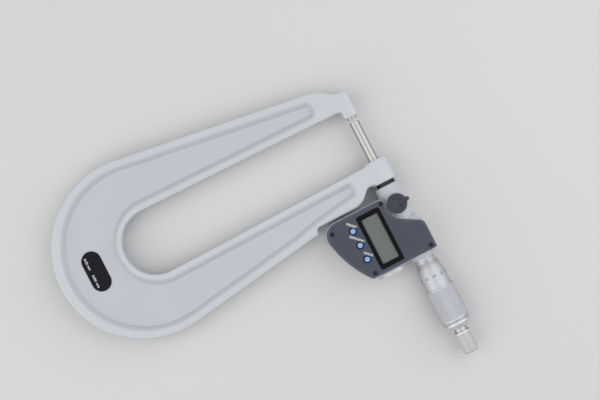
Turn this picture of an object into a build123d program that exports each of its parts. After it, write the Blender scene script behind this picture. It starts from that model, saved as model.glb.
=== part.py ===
# A digital outside micrometer with a deep U frame, for measuring sheet far in from its edge.
# Millimetres. X runs along the spindle axis, Y away from the throat, Z up out of the display.
# The origin is the centre of the anvil's measuring face, and the tool lies on its back.
import os
from math import acos, atan, atan2, cos, degrees, hypot, radians, sin, sqrt, tan

from build123d import *

# Measuring range and screw
travel = 25.0
open_gap = 2.05
face_radius = 3.175
tip_length = 1.4
tip_edge = 0.15
running_gap = 0.03
seat_gap = 0.02

# Spare length of a cut, and how near a place counts as the same
overrun = 1.0
near = 0.01

# Frame casting, seen from the front
throat_depth = 164.0
throat_radius = 20.7
throat_draft = 0.85
bow_depth = 44.6
bow_radius = 56.7
arm_top_width = 23.19
rim_half = 7.2
edge_round = 1.45
anvil_stand_out = 1.45
throat_mid_x = 11.6
lug_length = 16.45
lug_half_height = 4.6
lug_round = 3.6
lug_slope = 50.0
lug_slope_drop = 3.6
lug_slope_radius_outer = 20.0
lug_slope_radius_inner = 13.0
lug_root_radius = 2.2
neck_set_back = 1.18
neck_drop = 11.6
neck_root_radius = 2.6
relief_gap = 1.64
relief_shoulder_radius = 13.0
relief_depth_y = 51.2
relief_root_radius = 2.4

# Pockets in the frame's two faces
pocket_depth = 3.4
pocket_wall_run = 2.9
pocket_rim_outer = 4.0
pocket_rim_inner = 3.6
pocket_rim_bow = 5.4
pocket_rim_throat = 2.3
pocket_top_y = -18.0
pocket_top_width = 11.1
pocket_top_radius_left = 5.2
pocket_top_radius_right = 4.4
pocket_bend_drop = 14.8
pocket_relief_rim_top = 6.5
pocket_relief_rim_foot = 2.15
pocket_bend_radius = 40.0
pocket_foot_round = 1.6
pocket_lip_round = 0.9
corner_share = 0.85

# Spindle boss and stem
boss_radius = 8.8
boss_length = 14.75
boss_overhang = 1.0
boss_edge = 0.5
stem_radius = 6.0
stem_wall_front = 0.9
head_gap = 2.45
stem_in_head = 8.4

# Anvil
anvil_seat = 12.0

# Head housing casting
barrel_radius = 8.2
barrel_edge = 0.7
neck_length = 5.66
body_width = 42.14
body_back_z = -10.0
body_front_z = 9.6
body_top_y = 10.42
body_side_drop = 49.6
body_curve_radius = 67.96
body_right_drop = 34.264
body_corner_left = 9.0
body_corner_right = 2.2
body_corner_top = 1.4
body_back_round = 2.2
shell_top_y = 8.1
shell_foot_y = -12.0
shoulder_start = 18.16
shoulder_length = 7.2
shoulder_front_z = 8.2
rear_boss_length = 2.6
rear_boss_edge = 0.5
lip = 0.45

# Space left for the clamp knob in the display cover
saddle_set_in = 6.9
saddle_centre_y = 4.5
saddle_radius = 11.4
saddle_slope = 60.0
saddle_corner = 2.6
saddle_top_corner = 4.6

# Electronics space
cavity_wall = 2.0
cavity_floor_z = 7.0
cavity_top_y = -10.9
boss_pillar_radius = 2.6
board_thickness = 1.0
board_gap = 0.3

# Display cover
cover_thickness = 2.3
cover_bevel_height = 0.7
cover_bevel_run = 1.1
cover_groove_width = 0.3
cover_groove_depth = 0.2
cover_groove_set_in = 19.46
cover_groove_ys = (1.5, 0.75, 0.0, -0.75)
display_margin_left = 3.42
display_margin_right = 2.68
display_y = (-27.13, -11.14)
display_corner = 1.5
window_rim_left = 3.1
window_rim_right = 2.9
window_rim_foot = 2.63
window_rim_top = 2.51
fit_gap = 0.08
bezel_below = 0.2
window_thickness = 1.0
window_below = 0.5
bezel_edge_share = 0.8
bezel_skirt = 0.2
module_border = 1.2
module_gap = 0.25

# Cover screws
screw_top_left = (2.95, 2.33)
screw_top_right = (2.83, 3.55)
screw_foot_right = (2.93, 2.71)
screw_foot_left = (6.01, 5.4)
screw_head_radius = 1.3
screw_head_height = 1.0
screw_shank_radius = 0.8
screw_sunk = 0.45
screw_edge = 0.2
screw_length = 5.4
screw_spare = 0.2
cross_width = 0.45
cross_span = 1.7
cross_depth = 0.6
cross_turn = 20.0

# Buttons
button_names = ("origin_button", "zero_button", "hold_button")
button_drop = 4.84
button_set_in = 10.03
button_pitch = 9.615
button_hole_radius = 2.5
button_gap = 0.12
button_top_radius = 1.8
button_stand_out = 0.7
button_flange_radius = 3.0
button_flange_thickness = 0.6
button_flange_recess = 1.0
button_travel = 0.6
button_pad_gap = 0.1
button_pad_skirt = 0.6
button_pad_margin = 3.6
button_pad_corner = 1.5

# Battery and its cap
battery_y = -21.05
battery_z = -0.2
cell_radius = 5.8
cell_thickness = 5.4
cell_gap = 0.15
cell_edge = 0.3
contact_thickness = 0.5
cap_radius = 9.65
cap_thickness = 2.5
cap_plug_radius = 6.6
cap_plug_length = 3.6
cap_stand_off = 0.3
cap_grooves = 48
cap_groove_radius = 0.28
cap_slot_width = 1.6
cap_slot_length = 11.0
cap_slot_depth = 1.0
cap_slot_turn = 35.0
seal_section = 0.8
seal_outer_radius = 7.6

# Spindle clamp
clamp_set_in = 7.11
clamp_pad_top_z = 8.5
clamp_pad_radius = 6.8
knob_radius = 6.22
knob_gap = 0.15
knob_height = 3.5
knob_edge = 0.8
fin_reach = 8.3
fin_half_width = 1.3
fin_height = 1.0
fin_root_half = 3.4
fin_root_y = 2.2
fin_tip_set_in = 0.9
fin_tip_narrower = 0.3
fin_flare_radius = 7.2
fin_lean = 30.0
clamp_screw_radius = 2.5
clamp_shoe_height = 1.6
clamp_spigot_radius = 1.8
clamp_spigot_length = 2.6

# Spindle, thread, nut and sleeves
keyway_width = 1.0
keyway_depth = 1.0
keyway_spare = 2.0
keyway_end = 1.0
thread_radius = 3.7
thread_in_head = 3.78
tail_radius = 3.0
tail_length = 4.6
rear_bore_radius = 6.5
rear_bore_length = 22.78
nut_flange_length = 5.0
nut_tube_radius = 5.5
nut_stand_out = 0.5
nut_relief_radius = 4.4
nut_thread_length = 15.0
sleeve_radius = 6.3
sleeve_start_gap = 0.1
sleeve_past_scale = 3.65
adjuster_radius = 5.9
adjuster_length = 3.2
adjuster_gap = 0.3

# Encoder
stator_set_in = 2.5
stator_thickness = 2.4
stator_bore_gap = 0.4
disc_gap = 0.1
rotor_thickness = 2.2
rotor_radius = 6.0
key_overlap = 0.6
retainer_thickness = 2.0
retainer_bore = 4.6

# Thimble
zero_line_gap = 1.57
thimble_bore_gap = 0.15
thimble_edge_radius = 6.75
thimble_bevel_length = 7.8
thimble_radius = 8.45
thimble_front_length = 17.1
grip_radius = 9.1
grip_chamfer = 0.8
grip_step_edge = 0.25
thimble_wall_gap = 2.65
thimble_wall_end = 5.4
collar_spigot_length = 0.7
collar_spigot_radius = 7.7
collar_radius = 8.4
collar_land = 1.1
collar_length = 3.9
collar_end_radius = 5.7

# Ratchet stop
ratchet_shank_radius = 1.9
ratchet_shank_gap = 0.5
ratchet_neck_radius = 4.2
ratchet_neck_length = 2.5
ratchet_knob_radius = 5.0
ratchet_knob_length = 14.1
ratchet_knob_gap = 0.25
ratchet_rim_length = 1.2
ratchet_end_chamfer = 0.7
ratchet_end_lean = 35.0
ratchet_end_wall = 1.2
ratchet_ribs = 40
ratchet_rib_groove = 0.22
ratchet_wall = 0.9
ratchet_hub_radius = 3.6
ratchet_hub_length = 1.6
ratchet_teeth = 12
ratchet_tooth_height = 0.5
ratchet_tooth_share = 0.4
ratchet_tooth_set_in = 0.1
ratchet_tooth_sunk = 0.2
ratchet_tooth_clearance = 0.08
ratchet_disc_thickness = 1.6
ratchet_notch_overlap = 1.2
ratchet_notch_width = 0.7
ratchet_notch_depth = 0.5
ratchet_post_radius = 1.4
ratchet_post_end = 1.0
ratchet_spring_length = 2.4
ratchet_spring_wall = 0.4
ratchet_spring_rim_gap = 0.3
ratchet_spring_bore_gap = 0.4
ratchet_spring_cone_end = 0.9
ratchet_screw_head_radius = 2.4
ratchet_screw_head = 1.4
ratchet_screw_slot = 0.6
ratchet_screw_sunk = 0.3

# Range plate on the bow
plate_length = 26.4
plate_width = 12.4
plate_thickness = 0.5
plate_rise = 24.1

# Places worked out from the sizes above
lug_front_x = -anvil_stand_out
lug_back_x = lug_front_x - lug_length
throat_centre_y = throat_radius - throat_depth
bow_centre_y = bow_radius - throat_depth - bow_depth
floor_z = rim_half - pocket_depth


def throat_side(y):
    """Half the width of the throat at this height."""
    return throat_radius / cos(radians(throat_draft)) - (y - throat_centre_y) * tan(radians(throat_draft))


# The outside of each arm runs from the bow, which it touches, to its width at the relief's foot
arm_top_half = throat_side(-relief_depth_y) + arm_top_width
arm_rise = -relief_depth_y - bow_centre_y
taper = atan2(arm_rise, arm_top_half) - acos(bow_radius / hypot(arm_rise, arm_top_half))


def arm_side(y):
    """Half the width across the outsides of the two arms at this height."""
    return bow_radius / cos(taper) - (y - bow_centre_y) * tan(taper)


boss_front_x = throat_mid_x + throat_side(0) - boss_overhang
boss_rear_x = boss_front_x + boss_length
head_front_x = boss_rear_x + head_gap
body_left_x = head_front_x + neck_length
body_right_x = body_left_x + body_width
rear_face_x = body_right_x + rear_boss_length
neck_right_x = boss_rear_x - neck_set_back
relief_x = body_left_x - relief_gap
clamp_x = body_left_x + clamp_set_in
saddle_centre_x = body_left_x + saddle_set_in
shoulder_start_x = body_left_x + shoulder_start
shoulder_end_x = shoulder_start_x + shoulder_length
cover_back_z = body_front_z
cover_front_z = body_front_z + cover_thickness
spindle_face_x = open_gap
zero_line_x = rear_face_x + zero_line_gap
thimble_front_x = zero_line_x + open_gap
grip_front_x = thimble_front_x + thimble_front_length
sleeve_end_x = zero_line_x + travel + sleeve_past_scale
nut_tube_end_x = sleeve_end_x + adjuster_gap + adjuster_length + nut_stand_out
thimble_wall_x = nut_tube_end_x + open_gap + thimble_wall_gap
thimble_end_x = thimble_wall_x + thimble_wall_end
collar_end_x = thimble_end_x + collar_spigot_length + collar_length
knob_start_x = collar_end_x + ratchet_neck_length + ratchet_knob_gap
knob_end_x = knob_start_x + ratchet_knob_length
cap_face_x = body_right_x + cap_stand_off
rear_bore_front_x = rear_face_x - rear_bore_length
stator_front_x = rear_bore_front_x + stator_set_in
rotor_front_x = stator_front_x + stator_thickness + disc_gap
thread_front_x = rear_face_x - thread_in_head
keyway_front_x = rotor_front_x - travel - keyway_spare

os.makedirs("parts", exist_ok=True)


def save(piece, name):
    """Label a finished piece and write it under its own name."""
    piece.part.label = name
    export_step(piece.part, f"parts/{name}.step")


def across(x, y=0.0, z=0.0):
    """A plane across the spindle axis, its own X along Y and its normal along +X."""
    return Plane(origin=(x, y, z), x_dir=(0, 1, 0), z_dir=(1, 0, 0))


def turned(*profile):
    """Turn a closed profile of (x, radius) points about the spindle axis."""
    with BuildSketch(Plane.XZ) as section:
        with BuildLine():
            Polyline(*profile, close=True)
        make_face()
    revolve(section.sketch, axis=Axis.X)


def bar(start, end, radius, mode=Mode.ADD):
    """A round length on the spindle axis."""
    with Locations(Location((start, 0, 0), (0, 90, 0))):
        Cylinder(radius, end - start, align=(Align.CENTER, Align.CENTER, Align.MIN), mode=mode)


def round_corner(sketch, corner, radius):
    """Round the corner of a sketch nearest to this point, as far as its two sides have room."""
    vertex = sketch.vertices().sort_by_distance(corner)[0]
    point = vertex.center()
    sides = sketch.edges().sort_by(lambda edge: min((edge @ 0 - point).length, (edge @ 1 - point).length))
    ways = [
        edge % 0 if (edge @ 0 - point).length < (edge @ 1 - point).length else (edge % 1) * -1
        for edge in sides[:2]
    ]
    half_angle = radians(ways[0].get_angle(ways[1])) / 2
    room = corner_share * min(edge.length for edge in sides[:2]) * tan(half_angle)
    fillet(vertex, min(radius, room))


# Corners of the frame's outline
draft = radians(throat_draft)
slope = radians(lug_slope)
lug_foot = (lug_back_x, -lug_slope_drop)
slope_run = (
    throat_mid_x - arm_side(lug_foot[1]) - lug_back_x
) / (sin(slope) * tan(taper) - cos(slope))
arm_shoulder = (lug_back_x - slope_run * cos(slope), lug_foot[1] - slope_run * sin(slope))
lug_root = (throat_mid_x - throat_side(-lug_half_height), -lug_half_height)
neck_foot = (neck_right_x, -neck_drop)
relief_shoulder = (relief_x, -neck_drop - (relief_x - neck_right_x))
relief_foot = (relief_x, -relief_depth_y)
relief_step = (throat_mid_x + arm_side(-relief_depth_y), -relief_depth_y)


def bow_point(centre_y, radius, lean, side):
    """Where an arc of the bow runs on into the arm on this side."""
    return (throat_mid_x + side * radius * cos(lean), centre_y + radius * sin(lean))


# The pocket that is sunk into the frame's faces: a long U with rounded tops and sloping walls
rise = (pocket_rim_bow - pocket_rim_outer) / (1 + sin(taper))
outer_y = bow_centre_y + rise
outer_r = bow_radius - pocket_rim_outer - rise * sin(taper)
lift = (pocket_rim_inner - pocket_rim_throat) / (1 + sin(draft))
inner_y = throat_centre_y + lift
inner_r = throat_radius + pocket_rim_inner - lift * sin(draft)


def pocket_outer(y):
    """How far the pocket's outer side is from the middle of the throat at this height."""
    return arm_side(y) - pocket_rim_outer / cos(taper)


def pocket_inner(y):
    """How far the pocket's inner side is from the middle of the throat at this height."""
    return throat_side(y) + pocket_rim_inner / cos(draft)


# The left arm narrows towards its lug, and its pocket ends where it would get too narrow
width_to_spare = pocket_outer(pocket_top_y) - pocket_inner(pocket_top_y) - pocket_top_width
left_top_y = pocket_top_y + min(0, width_to_spare / (tan(taper) - tan(draft)))
left_top_corners = (
    (throat_mid_x - pocket_outer(left_top_y), left_top_y),
    (throat_mid_x - pocket_inner(left_top_y), left_top_y),
)
right_top_corners = (
    (throat_mid_x + pocket_inner(pocket_top_y), pocket_top_y),
    (relief_x - pocket_relief_rim_top, pocket_top_y),
)
pocket_bend_y = -relief_depth_y - pocket_bend_drop
pocket_bends = (
    (relief_x - pocket_relief_rim_foot, relief_root_radius - relief_depth_y),
    (throat_mid_x + pocket_outer(pocket_bend_y), pocket_bend_y),
)
with BuildPart() as pocket_core:
    with BuildSketch(Plane.XY.offset(rim_half)) as pocket:
        with BuildLine():
            Polyline(
                bow_point(outer_y, outer_r, taper, -1),
                *left_top_corners,
                bow_point(inner_y, inner_r, draft, -1),
            )
            ThreePointArc(
                bow_point(inner_y, inner_r, draft, -1),
                (throat_mid_x, inner_y - inner_r),
                bow_point(inner_y, inner_r, draft, 1),
            )
            Polyline(
                bow_point(inner_y, inner_r, draft, 1),
                *right_top_corners,
                *pocket_bends,
                bow_point(outer_y, outer_r, taper, 1),
            )
            ThreePointArc(
                bow_point(outer_y, outer_r, taper, 1),
                (throat_mid_x, outer_y - outer_r),
                bow_point(outer_y, outer_r, taper, -1),
            )
        make_face()
        for corner in left_top_corners:
            round_corner(pocket, corner, pocket_top_radius_left)
        for corner in right_top_corners:
            round_corner(pocket, corner, pocket_top_radius_right)
        for corner in pocket_bends:
            round_corner(pocket, corner, pocket_bend_radius)
    extrude(amount=-pocket_depth, taper=degrees(atan(pocket_wall_run / pocket_depth)))
    fillet(pocket_core.faces().sort_by(Axis.Z)[0].edges(), pocket_foot_round)

# Frame: one casting with an I section, its lug and its spindle boss
with BuildPart() as frame:
    with BuildSketch(Plane.XY.offset(-rim_half)) as frame_outline:
        with BuildLine():
            Polyline(
                bow_point(bow_centre_y, bow_radius, taper, -1),
                arm_shoulder,
                lug_foot,
                (lug_back_x, lug_half_height),
                (lug_front_x, lug_half_height),
                (lug_front_x, -lug_half_height),
                lug_root,
                bow_point(throat_centre_y, throat_radius, draft, -1),
            )
            ThreePointArc(
                bow_point(throat_centre_y, throat_radius, draft, -1),
                (throat_mid_x, -throat_depth),
                bow_point(throat_centre_y, throat_radius, draft, 1),
            )
            Polyline(
                bow_point(throat_centre_y, throat_radius, draft, 1),
                (throat_mid_x + throat_side(0), 0),
                (neck_right_x, 0),
                neck_foot,
                relief_shoulder,
                relief_foot,
                relief_step,
                bow_point(bow_centre_y, bow_radius, taper, 1),
            )
            ThreePointArc(
                bow_point(bow_centre_y, bow_radius, taper, 1),
                (throat_mid_x, -throat_depth - bow_depth),
                bow_point(bow_centre_y, bow_radius, taper, -1),
            )
        make_face()
        round_corner(frame_outline, arm_shoulder, lug_slope_radius_outer)
        round_corner(frame_outline, lug_foot, lug_slope_radius_inner)
        round_corner(frame_outline, lug_root, lug_root_radius)
        round_corner(frame_outline, neck_foot, neck_root_radius)
        round_corner(frame_outline, relief_shoulder, relief_shoulder_radius)
        round_corner(frame_outline, relief_foot, relief_root_radius)
    extrude(amount=2 * rim_half)
    lug_top = frame.edges().filter_by(Axis.X).filter_by_position(
        Axis.Y, lug_half_height - near, lug_half_height + near
    )
    fillet(lug_top, lug_round)
    rims = [
        edge
        for face in (frame.faces().sort_by(Axis.Z)[0], frame.faces().sort_by(Axis.Z)[-1])
        for edge in face.outer_wire().edges()
        if abs(edge.center().X - lug_front_x) > near and edge.center().Y < -near
    ]
    fillet(rims, edge_round)
    # The same pocket is sunk into both faces
    add(pocket_core.part, mode=Mode.SUBTRACT)
    front_lip = frame.edges(Select.LAST).filter_by_position(Axis.Z, rim_half - near, rim_half + near)
    fillet(front_lip, pocket_lip_round)
    mirror(pocket_core.part, about=Plane.XY, mode=Mode.SUBTRACT)
    back_lip = frame.edges(Select.LAST).filter_by_position(Axis.Z, -rim_half - near, -rim_half + near)
    fillet(back_lip, pocket_lip_round)
    bar(boss_front_x, boss_rear_x, boss_radius)
    boss_ends = frame.edges().filter_by(GeomType.CIRCLE).filter_by(
        lambda edge: abs(edge.radius - boss_radius) < near
    )
    chamfer(boss_ends, boss_edge)
    stem_hole_end_x = boss_front_x + stem_wall_front + overrun
    bar(boss_front_x - overrun, stem_hole_end_x, face_radius + running_gap, Mode.SUBTRACT)
    bar(boss_front_x + stem_wall_front, boss_rear_x + overrun, stem_radius + seat_gap, Mode.SUBTRACT)
    bar(-anvil_seat, 0, face_radius + seat_gap, Mode.SUBTRACT)
save(frame, "frame")

# Anvil: a hardened pin in the lug, with a hard metal face
with BuildPart() as anvil:
    bar(-anvil_seat, -tip_length, face_radius)
save(anvil, "anvil")

with BuildPart() as anvil_tip:
    bar(-tip_length, 0, face_radius)
    chamfer(anvil_tip.edges().sort_by(Axis.X)[-1], tip_edge)
save(anvil_tip, "anvil_tip")

# Head stem: joins the frame's boss to the head and guides the spindle
stem_rear_x = head_front_x + stem_in_head
with BuildPart() as head_stem:
    bar(boss_front_x + stem_wall_front, stem_rear_x, stem_radius)
    bar(boss_front_x, stem_rear_x + overrun, face_radius + running_gap, Mode.SUBTRACT)
save(head_stem, "head_stem")

# Head housing: one casting with a barrel round the spindle and a body behind the display
body_corner_y = -body_side_drop
curve_right_y = -body_right_drop
curve_rise = curve_right_y - body_corner_y
curve_chord = hypot(body_width, curve_rise)
curve_bulge = body_curve_radius - sqrt(body_curve_radius**2 - (curve_chord / 2) ** 2)
curve_mid = (
    (body_left_x + body_right_x) / 2 + curve_bulge * curve_rise / curve_chord,
    (body_corner_y + curve_right_y) / 2 - curve_bulge * body_width / curve_chord,
)
shelf_y = saddle_centre_y - saddle_radius
saddle_lean = radians(90 - saddle_slope)
saddle_exit = (
    saddle_centre_x + saddle_radius * cos(saddle_lean),
    saddle_centre_y - saddle_radius * sin(saddle_lean),
)
saddle_mid = (
    saddle_centre_x + saddle_radius * sin(radians(saddle_slope / 2)),
    saddle_centre_y - saddle_radius * cos(radians(saddle_slope / 2)),
)
saddle_top = (
    saddle_exit[0] + (body_top_y - saddle_exit[1]) / tan(radians(saddle_slope)),
    body_top_y,
)


def body_outline(inset=0.0):
    """The front outline of the head's body, or one drawn in from it by this much."""
    with BuildSketch(mode=Mode.PRIVATE) as outline:
        with BuildLine():
            Polyline((saddle_centre_x, shelf_y), (body_left_x, shelf_y), (body_left_x, body_corner_y))
            ThreePointArc((body_left_x, body_corner_y), curve_mid, (body_right_x, curve_right_y))
            Polyline((body_right_x, curve_right_y), (body_right_x, body_top_y), saddle_top, saddle_exit)
            ThreePointArc(saddle_exit, saddle_mid, (saddle_centre_x, shelf_y))
        make_face()
        round_corner(outline, (body_left_x, shelf_y), saddle_corner)
        round_corner(outline, (body_left_x, body_corner_y), body_corner_left)
        round_corner(outline, (body_right_x, curve_right_y), body_corner_right)
        round_corner(outline, (body_right_x, body_top_y), body_corner_top)
        round_corner(outline, saddle_top, saddle_top_corner)
        if inset:
            offset(amount=-inset)
    return outline.sketch


# Screws are set in from the sides and from the body's edges above or below them
screw_spots = [
    (body_left_x + screw_top_left[0], shelf_y - screw_top_left[1]),
    (body_right_x - screw_top_right[0], body_top_y - screw_top_right[1]),
    (body_right_x - screw_foot_right[0], curve_right_y + screw_foot_right[1]),
    (body_left_x + screw_foot_left[0], body_corner_y + screw_foot_left[1]),
]
cell_back_x = body_right_x - seal_section - cap_plug_length - cell_thickness - cell_gap
with BuildPart() as head_housing:
    with BuildSketch(Plane.XY.offset(body_back_z)):
        add(body_outline())
    extrude(amount=body_front_z - body_back_z)
    with BuildSketch(Plane.XY.offset(body_back_z)):
        with Locations((body_left_x, shell_top_y)):
            Rectangle(
                shoulder_end_x - body_left_x, shell_top_y - shell_foot_y, align=(Align.MIN, Align.MAX)
            )
    extrude(amount=-body_back_z)
    with BuildSketch(Plane.XY.offset(body_back_z)):
        with BuildLine():
            Polyline(
                (saddle_centre_x + saddle_radius, 0),
                (shoulder_start_x, shell_top_y),
                (shoulder_end_x, body_top_y),
                (body_right_x - body_corner_top, body_top_y),
                (body_right_x - body_corner_top, 0),
                close=True,
            )
        make_face()
    extrude(amount=shoulder_front_z - body_back_z)
    back_edges = head_housing.faces().sort_by(Axis.Z)[0].outer_wire().edges()
    fillet(back_edges, body_back_round)
    bar(head_front_x, rear_face_x, barrel_radius)
    barrel_ends = head_housing.edges().filter_by(GeomType.CIRCLE).filter_by(
        lambda edge: abs(edge.radius - barrel_radius) < near
    )
    chamfer(barrel_ends.sort_by(Axis.X)[0], barrel_edge)
    chamfer(barrel_ends.sort_by(Axis.X)[-1], rear_boss_edge)
    with Locations((clamp_x, 0, 0)):
        Cylinder(clamp_pad_radius, clamp_pad_top_z, align=(Align.CENTER, Align.CENTER, Align.MIN))
    # Bores for the stem, the spindle, the encoder and the clamp
    bar(head_front_x - overrun, stem_rear_x, stem_radius + seat_gap, Mode.SUBTRACT)
    spindle_hole_end_x = rear_bore_front_x + overrun
    bar(stem_rear_x - overrun, spindle_hole_end_x, face_radius + 2 * running_gap, Mode.SUBTRACT)
    bar(rear_bore_front_x, rear_face_x + overrun, rear_bore_radius, Mode.SUBTRACT)
    with Locations((clamp_x, 0, 0)):
        Cylinder(
            clamp_screw_radius + running_gap,
            body_front_z,
            align=(Align.CENTER, Align.CENTER, Align.MIN),
            mode=Mode.SUBTRACT,
        )
    # Space for the circuit board, with pillars left for the cover screws
    with BuildSketch(Plane.XY.offset(cavity_floor_z)):
        add(body_outline(cavity_wall))
        with Locations((body_left_x, cavity_top_y)):
            Rectangle(
                body_width, body_side_drop, align=(Align.MIN, Align.MAX), mode=Mode.INTERSECT
            )
        with Locations(*screw_spots):
            Circle(boss_pillar_radius, mode=Mode.SUBTRACT)
    extrude(amount=body_front_z, mode=Mode.SUBTRACT)
    with Locations(*[(x, y, cover_front_z - screw_sunk - screw_head_height) for x, y in screw_spots]):
        Cylinder(
            screw_shank_radius + seat_gap,
            screw_length + screw_spare,
            align=(Align.CENTER, Align.CENTER, Align.MAX),
            mode=Mode.SUBTRACT,
        )
    # Battery space: the cell's pocket, the cap's thread and the seal's seat
    with BuildSketch(across(cell_back_x - contact_thickness, battery_y, battery_z)):
        Circle(cell_radius + cell_gap)
    extrude(amount=body_width, mode=Mode.SUBTRACT)
    with BuildSketch(across(body_right_x - seal_section - cap_plug_length, battery_y, battery_z)):
        Circle(cap_plug_radius + running_gap)
    extrude(amount=body_width, mode=Mode.SUBTRACT)
    with BuildSketch(across(body_right_x - seal_section, battery_y, battery_z)):
        Circle(seal_outer_radius + running_gap)
    extrude(amount=body_width, mode=Mode.SUBTRACT)
save(head_housing, "head_housing")

# Spindle clamp: a knob with a pointer, its screw, and the shoe that it presses on the spindle
clamp_bore_z = face_radius + 2 * running_gap
shoe_top_z = clamp_bore_z + clamp_shoe_height
knob_back_z = clamp_pad_top_z + knob_gap
knob_front_z = knob_back_z + knob_height
with BuildPart() as clamp_shoe:
    with Locations((clamp_x, 0, 0)):
        Cylinder(
            clamp_screw_radius - running_gap,
            shoe_top_z,
            align=(Align.CENTER, Align.CENTER, Align.MIN),
        )
    bar(clamp_x - clamp_pad_radius, clamp_x + clamp_pad_radius, clamp_bore_z, Mode.SUBTRACT)
save(clamp_shoe, "clamp_shoe")

with BuildPart() as clamp_screw:
    with BuildSketch(Plane.XY.offset(shoe_top_z + running_gap)):
        with Locations((clamp_x, 0)):
            Circle(clamp_screw_radius)
    extrude(amount=knob_back_z - shoe_top_z - running_gap)
    with BuildSketch(Plane.XY.offset(knob_back_z)):
        with Locations((clamp_x, 0)):
            Circle(clamp_spigot_radius)
    extrude(amount=clamp_spigot_length)
save(clamp_screw, "clamp_screw")

with BuildPart() as clamp_knob:
    with BuildSketch(Plane.XY.offset(knob_back_z)):
        with Locations((clamp_x, 0)):
            Circle(knob_radius)
        with Locations((clamp_x, fin_reach - fin_half_width)):
            Circle(fin_half_width)
        with Locations((clamp_x, 0)):
            Rectangle(
                2 * fin_half_width, fin_reach - fin_half_width, align=(Align.CENTER, Align.MIN)
            )
    extrude(amount=knob_height)
    chamfer(clamp_knob.faces().sort_by(Axis.Z)[-1].outer_wire().edges(), knob_edge)
    with BuildSketch(Plane.XY.offset(knob_front_z - near)):
        with BuildLine():
            tip_left = (clamp_x - fin_half_width + fin_tip_narrower, fin_reach - fin_tip_set_in)
            tip_right = (clamp_x + fin_half_width - fin_tip_narrower, fin_reach - fin_tip_set_in)
            root_left = (clamp_x - fin_root_half, fin_root_y)
            root_right = (clamp_x + fin_root_half, fin_root_y)
            Line(tip_right, tip_left)
            RadiusArc(tip_left, root_left, fin_flare_radius)
            ThreePointArc(root_left, (clamp_x, -fin_root_y / 2), root_right)
            RadiusArc(root_right, tip_right, fin_flare_radius)
        make_face()
    extrude(amount=fin_height, taper=fin_lean)
    with BuildSketch(Plane.XY.offset(knob_back_z)):
        with Locations((clamp_x, 0)):
            Circle(clamp_spigot_radius + seat_gap)
    extrude(amount=clamp_spigot_length + seat_gap, mode=Mode.SUBTRACT)
save(clamp_knob, "clamp_knob")

# Display cover: a bevelled moulding with the window's opening, button holes and screw holes
button_lip_z = cover_back_z + button_flange_recess
display_x = (body_left_x + display_margin_left, body_right_x - display_margin_right)
window_x = (display_x[0] + window_rim_left, display_x[1] - window_rim_right)
window_y = (display_y[0] + window_rim_foot, display_y[1] - window_rim_top)
cover_groove_start_x = body_left_x + cover_groove_set_in
display_centre = (sum(display_x) / 2, sum(display_y) / 2)
display_size = (display_x[1] - display_x[0], display_y[1] - display_y[0])
window_centre = (sum(window_x) / 2, sum(window_y) / 2)
window_size = (window_x[1] - window_x[0], window_y[1] - window_y[0])
button_y = display_y[0] - button_drop
button_centres = [
    (body_left_x + button_set_in + button_pitch * count, button_y)
    for count in range(len(button_names))
]
with BuildPart() as display_cover:
    with BuildSketch(Plane.XY.offset(cover_back_z)):
        add(body_outline(lip))
    extrude(amount=cover_thickness - cover_bevel_height)
    with BuildSketch(Plane.XY.offset(cover_front_z - cover_bevel_height)):
        add(body_outline(lip))
    extrude(amount=cover_bevel_height, taper=degrees(atan(cover_bevel_run / cover_bevel_height)))
    with BuildSketch(Plane.XY.offset(cover_back_z)):
        with Locations(display_centre):
            RectangleRounded(*display_size, display_corner)
        with Locations(*button_centres):
            Circle(button_hole_radius)
        with Locations(*screw_spots):
            Circle(screw_shank_radius + seat_gap)
    extrude(amount=cover_thickness, mode=Mode.SUBTRACT)
    with BuildSketch(Plane.XY.offset(cover_back_z)):
        with Locations(*button_centres):
            Circle(button_flange_radius + button_gap)
    extrude(amount=button_flange_recess, mode=Mode.SUBTRACT)
    with BuildSketch(Plane.XY.offset(cover_front_z - screw_sunk - screw_head_height)):
        with Locations(*screw_spots):
            Circle(screw_head_radius + button_gap)
    extrude(amount=cover_thickness, mode=Mode.SUBTRACT)
    with BuildSketch(Plane.XY.offset(cover_front_z - cover_groove_depth)):
        for groove_y in cover_groove_ys:
            with Locations((cover_groove_start_x, groove_y)):
                Rectangle(
                    body_right_x - cover_groove_start_x,
                    cover_groove_width,
                    align=(Align.MIN, Align.CENTER),
                )
    extrude(amount=cover_thickness, mode=Mode.SUBTRACT)
save(display_cover, "display_cover")

# Cover screws: four alike, with cross recesses
screw_top_z = cover_front_z - screw_sunk
with BuildPart() as cover_screws:
    with BuildSketch(Plane.XY.offset(screw_top_z - screw_head_height)):
        with Locations(*screw_spots):
            Circle(screw_head_radius)
    extrude(amount=screw_head_height)
    chamfer(cover_screws.faces().sort_by(Axis.Z)[-len(screw_spots):].edges(), screw_edge)
    with BuildSketch(Plane.XY.offset(screw_top_z - screw_head_height)):
        with Locations(*screw_spots):
            Circle(screw_shank_radius)
    extrude(amount=-screw_length)
    with BuildSketch(Plane.XY.offset(screw_top_z - cross_depth)):
        with Locations(*screw_spots):
            Rectangle(cross_span, cross_width, rotation=cross_turn)
            Rectangle(cross_width, cross_span, rotation=cross_turn)
    extrude(amount=cross_depth, mode=Mode.SUBTRACT)
save(cover_screws, "cover_screws")

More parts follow.
